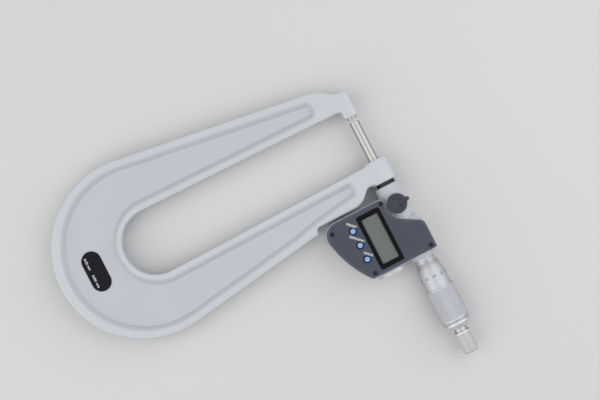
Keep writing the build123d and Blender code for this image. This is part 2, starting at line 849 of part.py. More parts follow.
# Display: bezel, window and the module behind it
bezel_front_z = cover_front_z - bezel_below
board_front_z = cavity_floor_z + board_thickness
window_back_z = bezel_front_z - window_below - window_thickness
with BuildPart() as display_bezel:
    with BuildSketch(Plane.XY.offset(window_back_z - bezel_skirt)):
        with Locations(display_centre):
            RectangleRounded(
                display_size[0] - 2 * fit_gap, display_size[1] - 2 * fit_gap, display_corner - fit_gap
            )
        with Locations(window_centre):
            Rectangle(*window_size, mode=Mode.SUBTRACT)
    extrude(amount=bezel_front_z - window_back_z + bezel_skirt)
    inner_top = display_bezel.faces().sort_by(Axis.Z)[-1].inner_wires()[0].edges()
    chamfer(inner_top, window_below * bezel_edge_share)
save(display_bezel, "display_bezel")

with BuildPart() as display_window:
    with BuildSketch(Plane.XY.offset(window_back_z)):
        with Locations(window_centre):
            Rectangle(window_size[0] - 2 * fit_gap, window_size[1] - 2 * fit_gap)
    extrude(amount=window_thickness)
save(display_window, "display_window")

with BuildPart() as display_module:
    with BuildSketch(Plane.XY.offset(board_front_z)):
        with Locations(window_centre):
            Rectangle(window_size[0] + 2 * module_border, window_size[1] + 2 * module_border)
    extrude(amount=window_back_z - module_gap - board_front_z)
save(display_module, "display_module")

# Circuit board on the floor of the electronics space
with BuildPart() as circuit_board:
    with BuildSketch(Plane.XY.offset(cavity_floor_z)):
        add(body_outline(cavity_wall + board_gap))
        with Locations((body_left_x, cavity_top_y - board_gap)):
            Rectangle(
                body_width, body_side_drop, align=(Align.MIN, Align.MAX), mode=Mode.INTERSECT
            )
        with Locations(*screw_spots):
            Circle(boss_pillar_radius + board_gap, mode=Mode.SUBTRACT)
    extrude(amount=board_thickness)
save(circuit_board, "circuit_board")

# Buttons: each a domed cap on a flange held under the cover, over one rubber pad
flange_front_z = button_lip_z - button_pad_gap
flange_back_z = flange_front_z - button_flange_thickness
pad_dome_z = flange_back_z - button_travel - button_pad_gap
button_span = button_centres[-1][0] - button_centres[0][0]
with BuildPart() as button_pad:
    with BuildSketch(Plane.XY.offset(board_front_z)):
        with Locations((button_centres[0][0] + button_span / 2, button_y)):
            RectangleRounded(
                button_span + 2 * button_pad_margin, 2 * button_pad_margin, button_pad_corner
            )
    extrude(amount=button_pad_skirt)
    with BuildSketch(Plane.XY.offset(board_front_z)):
        with Locations(*button_centres):
            Circle(button_top_radius)
    extrude(amount=pad_dome_z - board_front_z)
save(button_pad, "button_pad")

button_foot_radius = button_hole_radius - button_gap
for button_name, button_centre in zip(button_names, button_centres):
    with BuildPart() as button:
        with BuildSketch(Plane.XY.offset(flange_back_z)):
            with Locations(button_centre):
                Circle(button_flange_radius)
        extrude(amount=button_flange_thickness)
        with BuildSketch(Plane.XY.offset(flange_back_z)):
            with Locations(button_centre):
                Circle(button_foot_radius)
        extrude(amount=cover_front_z + button_stand_out - flange_back_z)
        top_edge = button.edges().sort_by(Axis.Z)[-1]
        chamfer(top_edge, button_stand_out, button_foot_radius - button_top_radius)
    save(button, button_name)

# Battery: the cell, its contact, the cap and the cap's seal
with BuildPart() as battery_contact:
    with BuildSketch(across(cell_back_x - contact_thickness, battery_y, battery_z)):
        Circle(cell_radius)
    extrude(amount=contact_thickness)
save(battery_contact, "battery_contact")

with BuildPart() as battery_cell:
    with BuildSketch(across(cell_back_x, battery_y, battery_z)):
        Circle(cell_radius)
    extrude(amount=cell_thickness)
    fillet(battery_cell.edges().filter_by(GeomType.CIRCLE), cell_edge)
save(battery_cell, "battery_cell")

seal_front_x = body_right_x - seal_section
with BuildPart() as battery_cap_seal:
    with BuildSketch(across(seal_front_x, battery_y, battery_z)):
        Circle(seal_outer_radius - running_gap)
        Circle(cap_plug_radius + running_gap, mode=Mode.SUBTRACT)
    extrude(amount=seal_section + cap_stand_off - running_gap)
save(battery_cap_seal, "battery_cap_seal")

with BuildPart() as battery_cap:
    with BuildSketch(across(cap_face_x, battery_y, battery_z)):
        Circle(cap_radius)
        with PolarLocations(cap_radius, cap_grooves):
            Circle(cap_groove_radius, mode=Mode.SUBTRACT)
    extrude(amount=cap_thickness)
    with BuildSketch(across(seal_front_x - cap_plug_length + cell_gap, battery_y, battery_z)):
        Circle(cap_plug_radius)
    extrude(amount=cap_face_x - seal_front_x + cap_plug_length - cell_gap)
    with BuildSketch(across(cap_face_x + cap_thickness - cap_slot_depth, battery_y, battery_z)):
        Rectangle(cap_slot_width, cap_slot_length, rotation=cap_slot_turn)
    extrude(amount=cap_slot_depth, mode=Mode.SUBTRACT)
save(battery_cap, "battery_cap")

# Spindle: ground front with a keyway, threaded rear and a tail that carries the thimble
tail_end_x = thimble_wall_x + tail_length
shank_hole_x = thimble_wall_x + running_gap
with BuildPart() as spindle:
    bar(spindle_face_x + tip_length, thread_front_x, face_radius)
    bar(thread_front_x, thimble_wall_x, thread_radius)
    bar(thimble_wall_x, tail_end_x, tail_radius)
    with BuildSketch(Plane.XY.offset(face_radius - keyway_depth)):
        with Locations((keyway_front_x, 0)):
            SlotOverall(
                thread_front_x - keyway_front_x - keyway_end,
                keyway_width,
                align=(Align.MIN, Align.CENTER),
            )
    extrude(amount=2 * keyway_depth, mode=Mode.SUBTRACT)
    bar(shank_hole_x, tail_end_x + overrun, ratchet_shank_radius + seat_gap, Mode.SUBTRACT)
save(spindle, "spindle")

with BuildPart() as spindle_tip:
    bar(spindle_face_x, spindle_face_x + tip_length, face_radius)
    chamfer(spindle_tip.edges().sort_by(Axis.X)[0], tip_edge)
save(spindle_tip, "spindle_tip")

# Encoder: a fixed plate, a disc keyed to the spindle, and the ring that keeps it there
rotor_rear_x = rotor_front_x + rotor_thickness
with BuildPart() as encoder_stator:
    turned(
        (stator_front_x, face_radius + stator_bore_gap),
        (stator_front_x, rear_bore_radius - seat_gap),
        (stator_front_x + stator_thickness, rear_bore_radius - seat_gap),
        (stator_front_x + stator_thickness, face_radius + stator_bore_gap),
    )
save(encoder_stator, "encoder_stator")

key_half = keyway_width / 2 - running_gap
key_bottom = face_radius - keyway_depth + 2 * running_gap
with BuildPart() as encoder_rotor:
    turned(
        (rotor_front_x, face_radius + running_gap),
        (rotor_front_x, rotor_radius),
        (rotor_rear_x, rotor_radius),
        (rotor_rear_x, face_radius + running_gap),
    )
    with Locations((rotor_front_x, 0, key_bottom)):
        Box(
            rotor_thickness,
            2 * key_half,
            face_radius + key_overlap - key_bottom,
            align=(Align.MIN, Align.CENTER, Align.MIN),
        )
save(encoder_rotor, "encoder_rotor")

with BuildPart() as rotor_retainer:
    turned(
        (rotor_rear_x + disc_gap, retainer_bore),
        (rotor_rear_x + disc_gap, rear_bore_radius - seat_gap),
        (rotor_rear_x + disc_gap + retainer_thickness, rear_bore_radius - seat_gap),
        (rotor_rear_x + disc_gap + retainer_thickness, retainer_bore),
    )
save(rotor_retainer, "rotor_retainer")

# Spindle nut: fixed in the head, threaded at its far end
nut_front_x = rear_face_x - nut_flange_length
nut_thread_x = nut_tube_end_x - nut_thread_length
with BuildPart() as spindle_nut:
    turned(
        (nut_front_x, nut_relief_radius),
        (nut_front_x, rear_bore_radius - seat_gap),
        (rear_face_x, rear_bore_radius - seat_gap),
        (rear_face_x, nut_tube_radius),
        (nut_tube_end_x, nut_tube_radius),
        (nut_tube_end_x, thread_radius + running_gap),
        (nut_thread_x, thread_radius + running_gap),
        (nut_thread_x, nut_relief_radius),
    )
save(spindle_nut, "spindle_nut")

with BuildPart() as adjusting_nut:
    turned(
        (sleeve_end_x + adjuster_gap, nut_tube_radius + seat_gap),
        (sleeve_end_x + adjuster_gap, adjuster_radius),
        (sleeve_end_x + adjuster_gap + adjuster_length, adjuster_radius),
        (sleeve_end_x + adjuster_gap + adjuster_length, nut_tube_radius + seat_gap),
    )
save(adjusting_nut, "adjusting_nut")

sleeve_start_x = rear_face_x + sleeve_start_gap
with BuildPart() as graduated_sleeve:
    turned(
        (sleeve_start_x, nut_tube_radius + seat_gap),
        (sleeve_start_x, sleeve_radius),
        (sleeve_end_x, sleeve_radius),
        (sleeve_end_x, nut_tube_radius + seat_gap),
    )
save(graduated_sleeve, "graduated_sleeve")

# Thimble: bevelled reading edge, plain front and a larger grip
bore_radius = sleeve_radius + thimble_bore_gap
with BuildPart() as thimble:
    turned(
        (thimble_front_x, bore_radius),
        (thimble_front_x, thimble_edge_radius),
        (thimble_front_x + thimble_bevel_length, thimble_radius),
        (grip_front_x, thimble_radius),
        (grip_front_x, grip_radius - grip_step_edge),
        (grip_front_x + grip_step_edge, grip_radius),
        (thimble_end_x - grip_chamfer, grip_radius),
        (thimble_end_x, grip_radius - grip_chamfer),
        (thimble_end_x, tail_radius + seat_gap),
        (thimble_wall_x, tail_radius + seat_gap),
        (thimble_wall_x, bore_radius),
    )
save(thimble, "thimble")

with BuildPart() as thimble_collar:
    turned(
        (thimble_end_x, ratchet_shank_radius + seat_gap),
        (thimble_end_x, collar_spigot_radius),
        (thimble_end_x + collar_spigot_length, collar_spigot_radius),
        (thimble_end_x + collar_spigot_length, collar_radius),
        (thimble_end_x + collar_spigot_length + collar_land, collar_radius),
        (collar_end_x, collar_end_radius),
        (collar_end_x, ratchet_shank_radius + seat_gap),
    )
save(thimble_collar, "thimble_collar")

# Ratchet stop: body on the spindle, toothed disc, cup spring, knob and screw
neck_end_x = collar_end_x + ratchet_neck_length
hub_end_x = neck_end_x + ratchet_hub_length
disc_front_x = hub_end_x + ratchet_tooth_height + ratchet_tooth_clearance
disc_rear_x = disc_front_x + ratchet_disc_thickness
spring_end_x = disc_rear_x + ratchet_spring_length
head_seat_x = knob_end_x - ratchet_screw_head
knob_bore = ratchet_knob_radius - ratchet_wall
tooth_pitch = 360 / ratchet_teeth


def tooth_ring(x, turn, outer):
    """Face teeth that stand toward +X from this place, turned on by this many degrees."""
    half = radians(tooth_pitch * ratchet_tooth_share / 2)
    root = ratchet_post_radius - ratchet_tooth_sunk
    with BuildSketch(across(x)) as ring:
        with PolarLocations(0, ratchet_teeth, start_angle=turn):
            Polygon(
                (root, -root * tan(half)),
                (outer * cos(half), -outer * sin(half)),
                (outer * cos(half), outer * sin(half)),
                (root, root * tan(half)),
                align=None,
            )
    extrude(ring.sketch, amount=ratchet_tooth_height)


with BuildPart() as ratchet_body:
    turned(
        (shank_hole_x + ratchet_shank_gap, 0),
        (shank_hole_x + ratchet_shank_gap, ratchet_shank_radius),
        (collar_end_x, ratchet_shank_radius),
        (collar_end_x, ratchet_neck_radius),
        (neck_end_x, ratchet_neck_radius),
        (neck_end_x, ratchet_hub_radius),
        (hub_end_x, ratchet_hub_radius),
        (hub_end_x, ratchet_post_radius),
        (spring_end_x + ratchet_post_end, ratchet_post_radius),
        (spring_end_x + ratchet_post_end, 0),
    )
    tooth_ring(hub_end_x, 0, ratchet_hub_radius - ratchet_tooth_set_in)
save(ratchet_body, "ratchet_body")

with BuildPart() as ratchet_disc:
    turned(
        (disc_front_x, ratchet_post_radius + running_gap),
        (disc_front_x, knob_bore - seat_gap),
        (disc_rear_x, knob_bore - seat_gap),
        (disc_rear_x, ratchet_post_radius + running_gap),
    )
    with BuildSketch(across(disc_front_x)) as notches:
        with PolarLocations(0, ratchet_teeth, start_angle=tooth_pitch / 2):
            with Locations((knob_bore, 0)):
                Rectangle(
                    2 * (knob_bore - ratchet_hub_radius + ratchet_notch_overlap), ratchet_notch_width
                )
    extrude(notches.sketch, amount=ratchet_notch_depth, mode=Mode.SUBTRACT)
save(ratchet_disc, "ratchet_disc")

with BuildPart() as ratchet_spring:
    turned(
        (disc_rear_x, knob_bore - ratchet_spring_rim_gap),
        (disc_rear_x + ratchet_spring_wall, knob_bore - ratchet_spring_rim_gap),
        (spring_end_x, ratchet_post_radius + ratchet_spring_cone_end),
        (spring_end_x, ratchet_post_radius + ratchet_spring_bore_gap),
        (spring_end_x - ratchet_spring_wall, ratchet_post_radius + ratchet_spring_bore_gap),
    )
save(ratchet_spring, "ratchet_spring")

with BuildPart() as ratchet_knob:
    with BuildSketch(across(knob_start_x)):
        Circle(ratchet_knob_radius)
    extrude(amount=ratchet_rim_length)
    with BuildSketch(across(knob_start_x + ratchet_rim_length)):
        Circle(ratchet_knob_radius)
        with PolarLocations(ratchet_knob_radius, ratchet_ribs):
            Circle(ratchet_rib_groove, mode=Mode.SUBTRACT)
    extrude(amount=ratchet_knob_length - ratchet_rim_length - ratchet_end_chamfer)
    with BuildSketch(across(knob_end_x - ratchet_end_chamfer)):
        Circle(ratchet_knob_radius - ratchet_rib_groove)
    extrude(amount=ratchet_end_chamfer, taper=ratchet_end_lean)
    bar(knob_start_x - overrun, spring_end_x, knob_bore, Mode.SUBTRACT)
    post_hole_end_x = spring_end_x + ratchet_end_wall
    bar(spring_end_x - overrun, post_hole_end_x, ratchet_post_radius + running_gap, Mode.SUBTRACT)
    bar(head_seat_x, knob_end_x + overrun, ratchet_screw_head_radius + seat_gap, Mode.SUBTRACT)
save(ratchet_knob, "ratchet_knob")

with BuildPart() as ratchet_screw:
    bar(head_seat_x, knob_end_x - ratchet_screw_sunk, ratchet_screw_head_radius)
    with Locations((knob_end_x - ratchet_screw_sunk, 0, 0)):
        Box(
            2 * ratchet_screw_slot,
            ratchet_screw_slot,
            2 * ratchet_screw_head_radius,
            mode=Mode.SUBTRACT,
        )
save(ratchet_screw, "ratchet_screw")

# Range plate: a thin rounded plate on the pocket floor of the bow
plate_y = plate_rise - throat_depth - bow_depth
with BuildPart() as range_plate:
    with BuildSketch(Plane.XY.offset(floor_z)):
        with Locations((throat_mid_x, plate_y)):
            SlotOverall(plate_length, plate_width)
    extrude(amount=plate_thickness)
    fillet(range_plate.faces().sort_by(Axis.Z)[-1].edges(), plate_thickness / 2)
save(range_plate, "range_plate")
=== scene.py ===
"""Dresses the digital outside micrometer: finishes, knurl, marks, buttons, display and stage."""

from math import cos, pi, radians, sin

import bmesh
import bpy
from mathutils import Matrix, Vector


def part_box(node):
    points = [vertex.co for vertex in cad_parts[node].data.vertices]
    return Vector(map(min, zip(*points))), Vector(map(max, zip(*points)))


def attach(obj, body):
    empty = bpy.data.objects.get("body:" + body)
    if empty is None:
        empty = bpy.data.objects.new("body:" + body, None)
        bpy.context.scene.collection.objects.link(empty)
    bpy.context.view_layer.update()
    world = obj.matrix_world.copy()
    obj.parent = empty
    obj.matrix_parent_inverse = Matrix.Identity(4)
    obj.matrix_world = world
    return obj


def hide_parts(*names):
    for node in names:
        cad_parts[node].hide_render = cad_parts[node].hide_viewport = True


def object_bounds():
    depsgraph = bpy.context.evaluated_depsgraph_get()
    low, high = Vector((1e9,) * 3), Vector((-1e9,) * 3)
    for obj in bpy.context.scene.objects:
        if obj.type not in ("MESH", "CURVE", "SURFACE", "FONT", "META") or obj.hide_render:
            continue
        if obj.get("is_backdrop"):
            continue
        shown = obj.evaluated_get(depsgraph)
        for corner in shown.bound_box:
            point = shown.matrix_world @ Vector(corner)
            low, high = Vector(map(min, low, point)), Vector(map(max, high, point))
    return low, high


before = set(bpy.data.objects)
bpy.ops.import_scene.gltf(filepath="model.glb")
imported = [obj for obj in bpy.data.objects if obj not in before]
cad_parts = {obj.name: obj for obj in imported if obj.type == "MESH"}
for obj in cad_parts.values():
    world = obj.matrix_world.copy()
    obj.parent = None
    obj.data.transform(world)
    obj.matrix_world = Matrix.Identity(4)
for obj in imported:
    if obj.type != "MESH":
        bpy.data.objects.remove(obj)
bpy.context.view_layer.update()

bl_info = {
    "name": "Deep Frame Micrometer",
    "version": (1, 0, 0),
    "blender": (4, 5, 0),
    "location": "View3D > Sidebar > Micrometer",
    "description": "Dresses a packed digital outside micrometer and sets its stage",
    "category": "Object",
}

MM = 0.001

PIXEL = 0.6226 * MM  # what one pixel of the photograph spans
THREAD_PITCH = 0.5 * MM  # travel of the spindle in one turn
PRINT_LIFT = 0.012 * MM  # height of marks over the surface that they lie on
WELD = 0.002 * MM  # points nearer than this are one point
THIMBLE_EDGE = 6.75 * MM  # radius of the thimble's front edge
THIMBLE_FRONT = 8.45 * MM  # radius between its bevel and its grip
THIMBLE_BEVEL = 7.8 * MM  # length of its bevel
DIVISIONS = 50  # lines round the thimble
NUMBERED = 5  # every fifth line has a numeral

PLATE = {"lines": 0.16, "relief": 0.002, "streak": 0.06}  # what all plated pieces share


def colour(red, green, blue):
    """Turn a colour written as 0 to 255 display values into Blender's linear values."""
    def linear(value):
        share = value / 255
        return share / 12.92 if share <= 0.04045 else ((share + 0.055) / 1.055) ** 2.4
    return (linear(red), linear(green), linear(blue))


def span(node, axis):
    """The lowest and highest place of a CAD node along one axis, in metres."""
    low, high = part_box(node)
    return low[axis], high[axis]


def centre_of(node):
    """The middle of a CAD node as seen from the front."""
    return Vector((sum(span(node, 0)) / 2, sum(span(node, 1)) / 2, 0))


# Sizes and colours that a user may change


class CastingSettings(bpy.types.PropertyGroup):
    """Paint of the frame and the head."""
    frame_paint: bpy.props.FloatVectorProperty(
        name="Frame paint", description="Colour of the frame's enamel", subtype="COLOR",
        min=0, max=1, default=colour(206, 212, 218))
    head_paint: bpy.props.FloatVectorProperty(
        name="Head paint", description="Colour of the head housing's enamel", subtype="COLOR",
        min=0, max=1, default=colour(196, 200, 206))
    peel: bpy.props.FloatProperty(
        name="Orange peel", description="Width of the small waves in the enamel", unit="LENGTH",
        default=0.9 * MM, min=0.1 * MM, max=5 * MM)


class MetalSettings(bpy.types.PropertyGroup):
    """Ground, plated and darkened metals."""
    ground: bpy.props.FloatVectorProperty(
        name="Ground steel", description="Colour of the spindle and the anvil", subtype="COLOR",
        min=0, max=1, default=colour(174, 173, 171))
    plated: bpy.props.FloatVectorProperty(
        name="Satin plate", description="Colour of the thimble and the sleeve", subtype="COLOR",
        min=0, max=1, default=colour(191, 193, 199))
    bright: bpy.props.FloatVectorProperty(
        name="Bright plate", description="Colour of the battery cap, collar and ratchet knob",
        subtype="COLOR", min=0, max=1, default=colour(211, 213, 216))
    hard: bpy.props.FloatVectorProperty(
        name="Hard metal", description="Colour of the two measuring tips", subtype="COLOR",
        min=0, max=1, default=colour(178, 179, 182))
    dark: bpy.props.FloatVectorProperty(
        name="Darkened steel", description="Colour of the stem between frame and head",
        subtype="COLOR", min=0, max=1, default=colour(58, 59, 64))


class PlasticSettings(bpy.types.PropertyGroup):
    """Mouldings of the head."""
    cover: bpy.props.FloatVectorProperty(
        name="Cover", description="Colour of the display cover", subtype="COLOR",
        min=0, max=1, default=colour(76, 80, 93))
    knob: bpy.props.FloatVectorProperty(
        name="Clamp knob", description="Colour of the spindle clamp's knob", subtype="COLOR",
        min=0, max=1, default=colour(64, 66, 76))
    bezel: bpy.props.FloatVectorProperty(
        name="Bezel", description="Colour of the surround of the display", subtype="COLOR",
        min=0, max=1, default=colour(16, 16, 15))
    button_top: bpy.props.FloatVectorProperty(
        name="Button top", description="Colour of the tops of the buttons", subtype="COLOR",
        min=0, max=1, default=colour(144, 185, 231))
    # Painted shade: the flank is a darker copy of the top's blue, standing in for the shade on
    # the buttons' sides
    button_flank: bpy.props.FloatVectorProperty(
        name="Button flank", description="Colour of the sides of the buttons", subtype="COLOR",
        min=0, max=1, default=colour(18, 36, 88))
    screen: bpy.props.FloatVectorProperty(
        name="Display", description="Colour of the display with nothing shown", subtype="COLOR",
        min=0, max=1, default=colour(110, 119, 117))


class MarkSettings(bpy.types.PropertyGroup):
    """Lines, numerals and words."""
    line_width: bpy.props.FloatProperty(
        name="Line width", description="Width of a graduation line", unit="LENGTH",
        default=0.16 * MM, min=0.05 * MM, max=0.5 * MM)
    numeral_height: bpy.props.FloatProperty(
        name="Numeral height", description="Height of the thimble's numerals", unit="LENGTH",
        default=2.1 * MM, min=0.5 * MM, max=4 * MM)
    label_height: bpy.props.FloatProperty(
        name="Label height", description="Height of the words at the buttons", unit="LENGTH",
        default=1.5 * MM, min=0.5 * MM, max=4 * MM)
    ink: bpy.props.FloatVectorProperty(
        name="Mark paint", description="Colour of the graduations", subtype="COLOR",
        min=0, max=1, default=colour(52, 52, 55))
    print_white: bpy.props.FloatVectorProperty(
        name="Label print", description="Colour of the words on the cover and the plate",
        subtype="COLOR", min=0, max=1, default=colour(238, 239, 240))


class KnurlSettings(bpy.types.PropertyGroup):
    """The diamond knurl on the thimble's grip."""
    around: bpy.props.IntProperty(
        name="Diamonds around", description="How many diamonds go round the grip",
        subtype="UNSIGNED", default=76, min=24, max=160)
    depth: bpy.props.FloatProperty(
        name="Knurl depth", description="Depth of the knurl's grooves", unit="LENGTH",
        default=0.13 * MM, min=0.02 * MM, max=0.4 * MM)


class StageSettings(bpy.types.PropertyGroup):
    """Floor, lamps and camera."""
    floor: bpy.props.FloatVectorProperty(
        name="Floor", description="Colour of the floor", subtype="COLOR",
        min=0, max=1, default=colour(226, 226, 225))
    lamp_power: bpy.props.FloatProperty(
        name="Lamp power", description="Power of each soft lamp", unit="POWER",
        default=4.4, min=0, max=50)
    lamp_size: bpy.props.FloatProperty(
        name="Lamp size", description="Width of each soft lamp", unit="LENGTH",
        default=1.2, min=0.1, max=3)
    sky: bpy.props.FloatProperty(
        name="Fill light", description="Strength of the even light from all round",
        subtype="FACTOR", default=0.42, min=0, max=2)
    camera_height: bpy.props.FloatProperty(
        name="Camera height", description="Height of the camera over the spindle axis",
        unit="LENGTH", default=0.9, min=0.1, max=5)


# Shader expressions


class Signal:
    """A socket of a material's nodes that takes part in Python expressions."""

    def __init__(self, finish, socket):
        self.finish = finish
        self.socket = socket

    def _math(self, operation, first, second):
        return self.finish.node("Math", {0: first, 1: second}, operation=operation)

    def __add__(self, other):
        return self._math("ADD", self, other)

    def __radd__(self, other):
        return self._math("ADD", other, self)

    def __sub__(self, other):
        return self._math("SUBTRACT", self, other)

    def __rsub__(self, other):
        return self._math("SUBTRACT", other, self)

    def __mul__(self, other):
        return self._math("MULTIPLY", self, other)

    def __rmul__(self, other):
        return self._math("MULTIPLY", other, self)

    def __lt__(self, other):
        return self._math("LESS_THAN", self, other)


def socket_name(key):
    """The shader's own name for an input written as a keyword."""
    return key.replace("_", " ").title().replace("Ior", "IOR")


class Finish:
    """One procedural finish: its nodes, its expressions and its principled shader."""

    def __init__(self, name, **constants):
        self.material = bpy.data.materials.new(name)
        self.material.use_nodes = True
        self.tree = self.material.node_tree
        self.tree.nodes.clear()
        output = self.tree.nodes.new("ShaderNodeOutputMaterial")
        self.shader = self.tree.nodes.new("ShaderNodeBsdfPrincipled")
        self.tree.links.new(self.shader.outputs[0], output.inputs["Surface"])
        self.surface(**constants)

    def feed(self, made, inputs):
        """Give values or links to a node's sockets."""
        for key, value in inputs.items():
            socket = made.inputs[key]
            if isinstance(value, Signal):
                self.tree.links.new(value.socket, socket)
            elif isinstance(value, tuple):
                wanted = len(socket.default_value)
                socket.default_value = value + (1.0,) * (wanted - len(value))
            else:
                socket.default_value = value

    def node(self, kind, inputs, output=0, **settings):
        """Add a shader node with its inputs' values or links and its settings, for one output."""
        made = self.tree.nodes.new("ShaderNode" + kind)
        for key, value in settings.items():
            setattr(made, key, value)
        self.feed(made, inputs)
        return Signal(self, made.outputs[output])

    def place(self, stretch=(1, 1, 1)):
        """The point on the piece in millimetres, stretched along each axis."""
        point = self.node("TexCoord", {}, output="Object")
        scale = tuple(value / MM for value in stretch)
        return self.node("VectorMath", {0: point, 1: scale}, operation="MULTIPLY")

    def split(self, point, axis):
        """One coordinate of a point."""
        return self.node("SeparateXYZ", {0: point}, output=axis)

    def noise(self, point, size, detail=2.0, roughness=0.5):
        """Soft noise from 0 to 1 with features of about this many millimetres."""
        return self.node("TexNoise", {
            "Vector": point, "Scale": 1 / size, "Detail": detail, "Roughness": roughness})

    def cells(self, point, size):
        """Distance to the nearest of scattered points this many millimetres apart."""
        return self.node("TexVoronoi", {"Vector": point, "Scale": 1 / size}, feature="F1")

    def step(self, value, low, high):
        """Rise from 0 to 1 as the value goes from low to high."""
        inputs = {"Value": value, "From Min": low, "From Max": high}
        return self.node("MapRange", inputs, interpolation_type="SMOOTHSTEP")

    def band(self, value, rise, fall):
        """1 between two ramps, each given as (low, high), and 0 outside them."""
        return self.step(value, *rise) - self.step(value, *fall)

    def distance(self, point, centre):
        """How far a point is from a fixed place."""
        return self.node("VectorMath", {0: point, 1: centre}, "Value", operation="DISTANCE")

    def blend(self, share, first, second):
        """Go from the first colour to the second as the share goes from 0 to 1."""
        return self.node("Mix", {"Factor": share, 6: first, 7: second}, 2, data_type="RGBA")

    def shade(self, tint, level):
        """A colour made lighter or darker by this level."""
        return self.node("VectorMath", {0: tint, "Scale": level}, operation="SCALE")

    def bump(self, height, depth):
        """Small relief, this many millimetres deep."""
        return self.node("Bump", {"Height": height, "Distance": depth * MM})

    def surface(self, **inputs):
        """Give inputs of the shader their values or links, and hand back the material."""
        self.feed(self.shader, {socket_name(key): value for key, value in inputs.items()})
        return self.material


def enamel_layers(name, peel, drift_size, dust_gap, dust_size):
    """What both enamels have: the coat, drift of shade, orange peel, dust and fine relief."""
    finish = Finish(name, coat_weight=0.25, coat_roughness=0.12)
    point = finish.place()
    drift = finish.noise(point, drift_size, detail=3.0)
    waves = finish.noise(point, peel / MM, roughness=0.6)
    dust = finish.cells(point, dust_gap) < dust_size
    return finish, point, drift, waves, dust, waves + 0.35 * finish.noise(point, size=0.25)


def head_enamel(settings):
    """The head's enamel, with a rough spot beside the clamp knob, whose dark blotches are painted
    shade of its rough relief.
    """
    rough_spot = (64.0, -5.0, 8.0)
    finish, point, drift, waves, dust, relief = enamel_layers(
        "head enamel", settings.peel, drift_size=22.0, dust_gap=1.7, dust_size=0.09)
    near = 1 - finish.step(finish.distance(point, rough_spot), low=4.0, high=12.0)
    # Painted shade: dark blotches in the colour near the rough spot stand in for the shading of
    # its rough relief
    mottle = finish.noise(point, size=2.6, detail=5.0, roughness=0.7)
    blotch_shade = near * finish.step(mottle, low=0.42, high=0.7)
    level = 0.965 + 0.05 * drift + 0.02 * waves - 0.05 * dust - 0.09 * blotch_shade
    return finish.surface(
        base_color=finish.shade(tuple(settings.head_paint), level),
        roughness=0.38 + 0.12 * waves,
        normal=finish.bump(relief + 4.0 * near * finish.noise(point, size=1.2), 0.02),
    )


def frame_enamel(settings):
    """The frame's enamel, with a small chip near the top of the left arm's pocket, painted shade
    in its pockets and along the foot of their walls, and a painted highlight along the lips of
    the rims.
    """
    chip_place = (-18.3, -16.7, 7.2)
    finish, point, drift, waves, dust, relief = enamel_layers(
        "frame enamel", settings.peel, drift_size=30.0, dust_gap=1.1, dust_size=0.11)
    grain = finish.noise(point, size=0.45, detail=3.0, roughness=0.7)
    chip_way = finish.distance(point, chip_place) + 0.5 * finish.noise(point, size=0.5)
    chip = 1 - finish.step(chip_way, low=0.35, high=1.0)
    # From the middle plane the pocket's floor lies at 3.8 mm and the top of the rim at 7.2 mm
    depth = finish.node("Math", {0: finish.split(point, "Z")}, operation="ABSOLUTE")
    # Painted shade: darker pocket floor and lower walls, and a darker line along the foot of the
    # walls; painted highlight: a lighter line along the rim's lip
    pocket_shade = 1 - finish.step(depth, low=4.2, high=6.6)
    foot = finish.band(depth, rise=(3.81, 3.9), fall=(4.1, 4.9))
    lip_highlight = finish.band(depth, rise=(6.0, 6.9), fall=(7.14, 7.19))
    level = (0.94 + 0.045 * drift + 0.015 * waves + 0.06 * grain - 0.06 * dust
             - 0.14 * chip - 0.085 * pocket_shade - 0.09 * foot + 0.05 * lip_highlight)
    return finish.surface(
        base_color=finish.shade(tuple(settings.frame_paint), level),
        roughness=0.38 + 0.12 * waves + 0.15 * chip,
        normal=finish.bump(relief - 2.0 * chip, 0.02),
    )


def turned_metal(name, tint, roughness, lines=0.12, relief=0.003, streak=0.05, ribs=None):
    """Metal turned or ground about the spindle axis, with fine rings, and painted shade in the
    grooves between ribs.

    The ribs are given as the Y and Z of their axis and the radius of their crests.
    """
    finish = Finish(name, metallic=1.0)
    rings = finish.noise(finish.place((1, 0.02, 0.02)), lines, detail=4.0, roughness=0.7)
    drift = finish.noise(finish.place(), size=6.0)
    level = 1 - streak * rings - 0.04 * drift
    if ribs:
        y, z, crest = ribs
        across = finish.node(
            "VectorMath", {0: finish.place(), 1: (0, 1, 1)}, operation="MULTIPLY")
        # Painted shade: the colour is darker in the grooves between the ribs
        groove = finish.band(
            finish.distance(across, (0, y, z)),
            rise=(crest - 0.6, crest - 0.5), fall=(crest - 0.16, crest - 0.06))
        level = level - 0.35 * groove
    return finish.surface(
        base_color=finish.shade(tuple(tint), level),
        roughness=roughness - 0.06 + 0.12 * rings + 0.08 * drift,
        normal=finish.bump(rings, relief),
    )


def lapped_metal(name, tint):
    """Hard metal with a lapped face and a fine brazed line where it meets its pin."""
    first, last = span("anvil_tip", 0)[0] / MM, span("spindle_tip", 0)[1] / MM
    finish = Finish(name, metallic=1.0)
    point = finish.place()
    grain = finish.noise(point, size=0.08, detail=3.0, roughness=0.7)
    way = finish.node("Math", {
        0: finish.split(point, "X") - first, 1: (last - first) / 2}, operation="PINGPONG")
    seam = 1 - finish.step(way, low=0.0, high=0.14)
    return finish.surface(
        base_color=finish.shade(tuple(tint), 1.0 - 0.10 * grain - 0.35 * seam),
        roughness=0.22 + 0.15 * grain + 0.2 * seam,
        normal=finish.bump(grain, 0.001),
    )


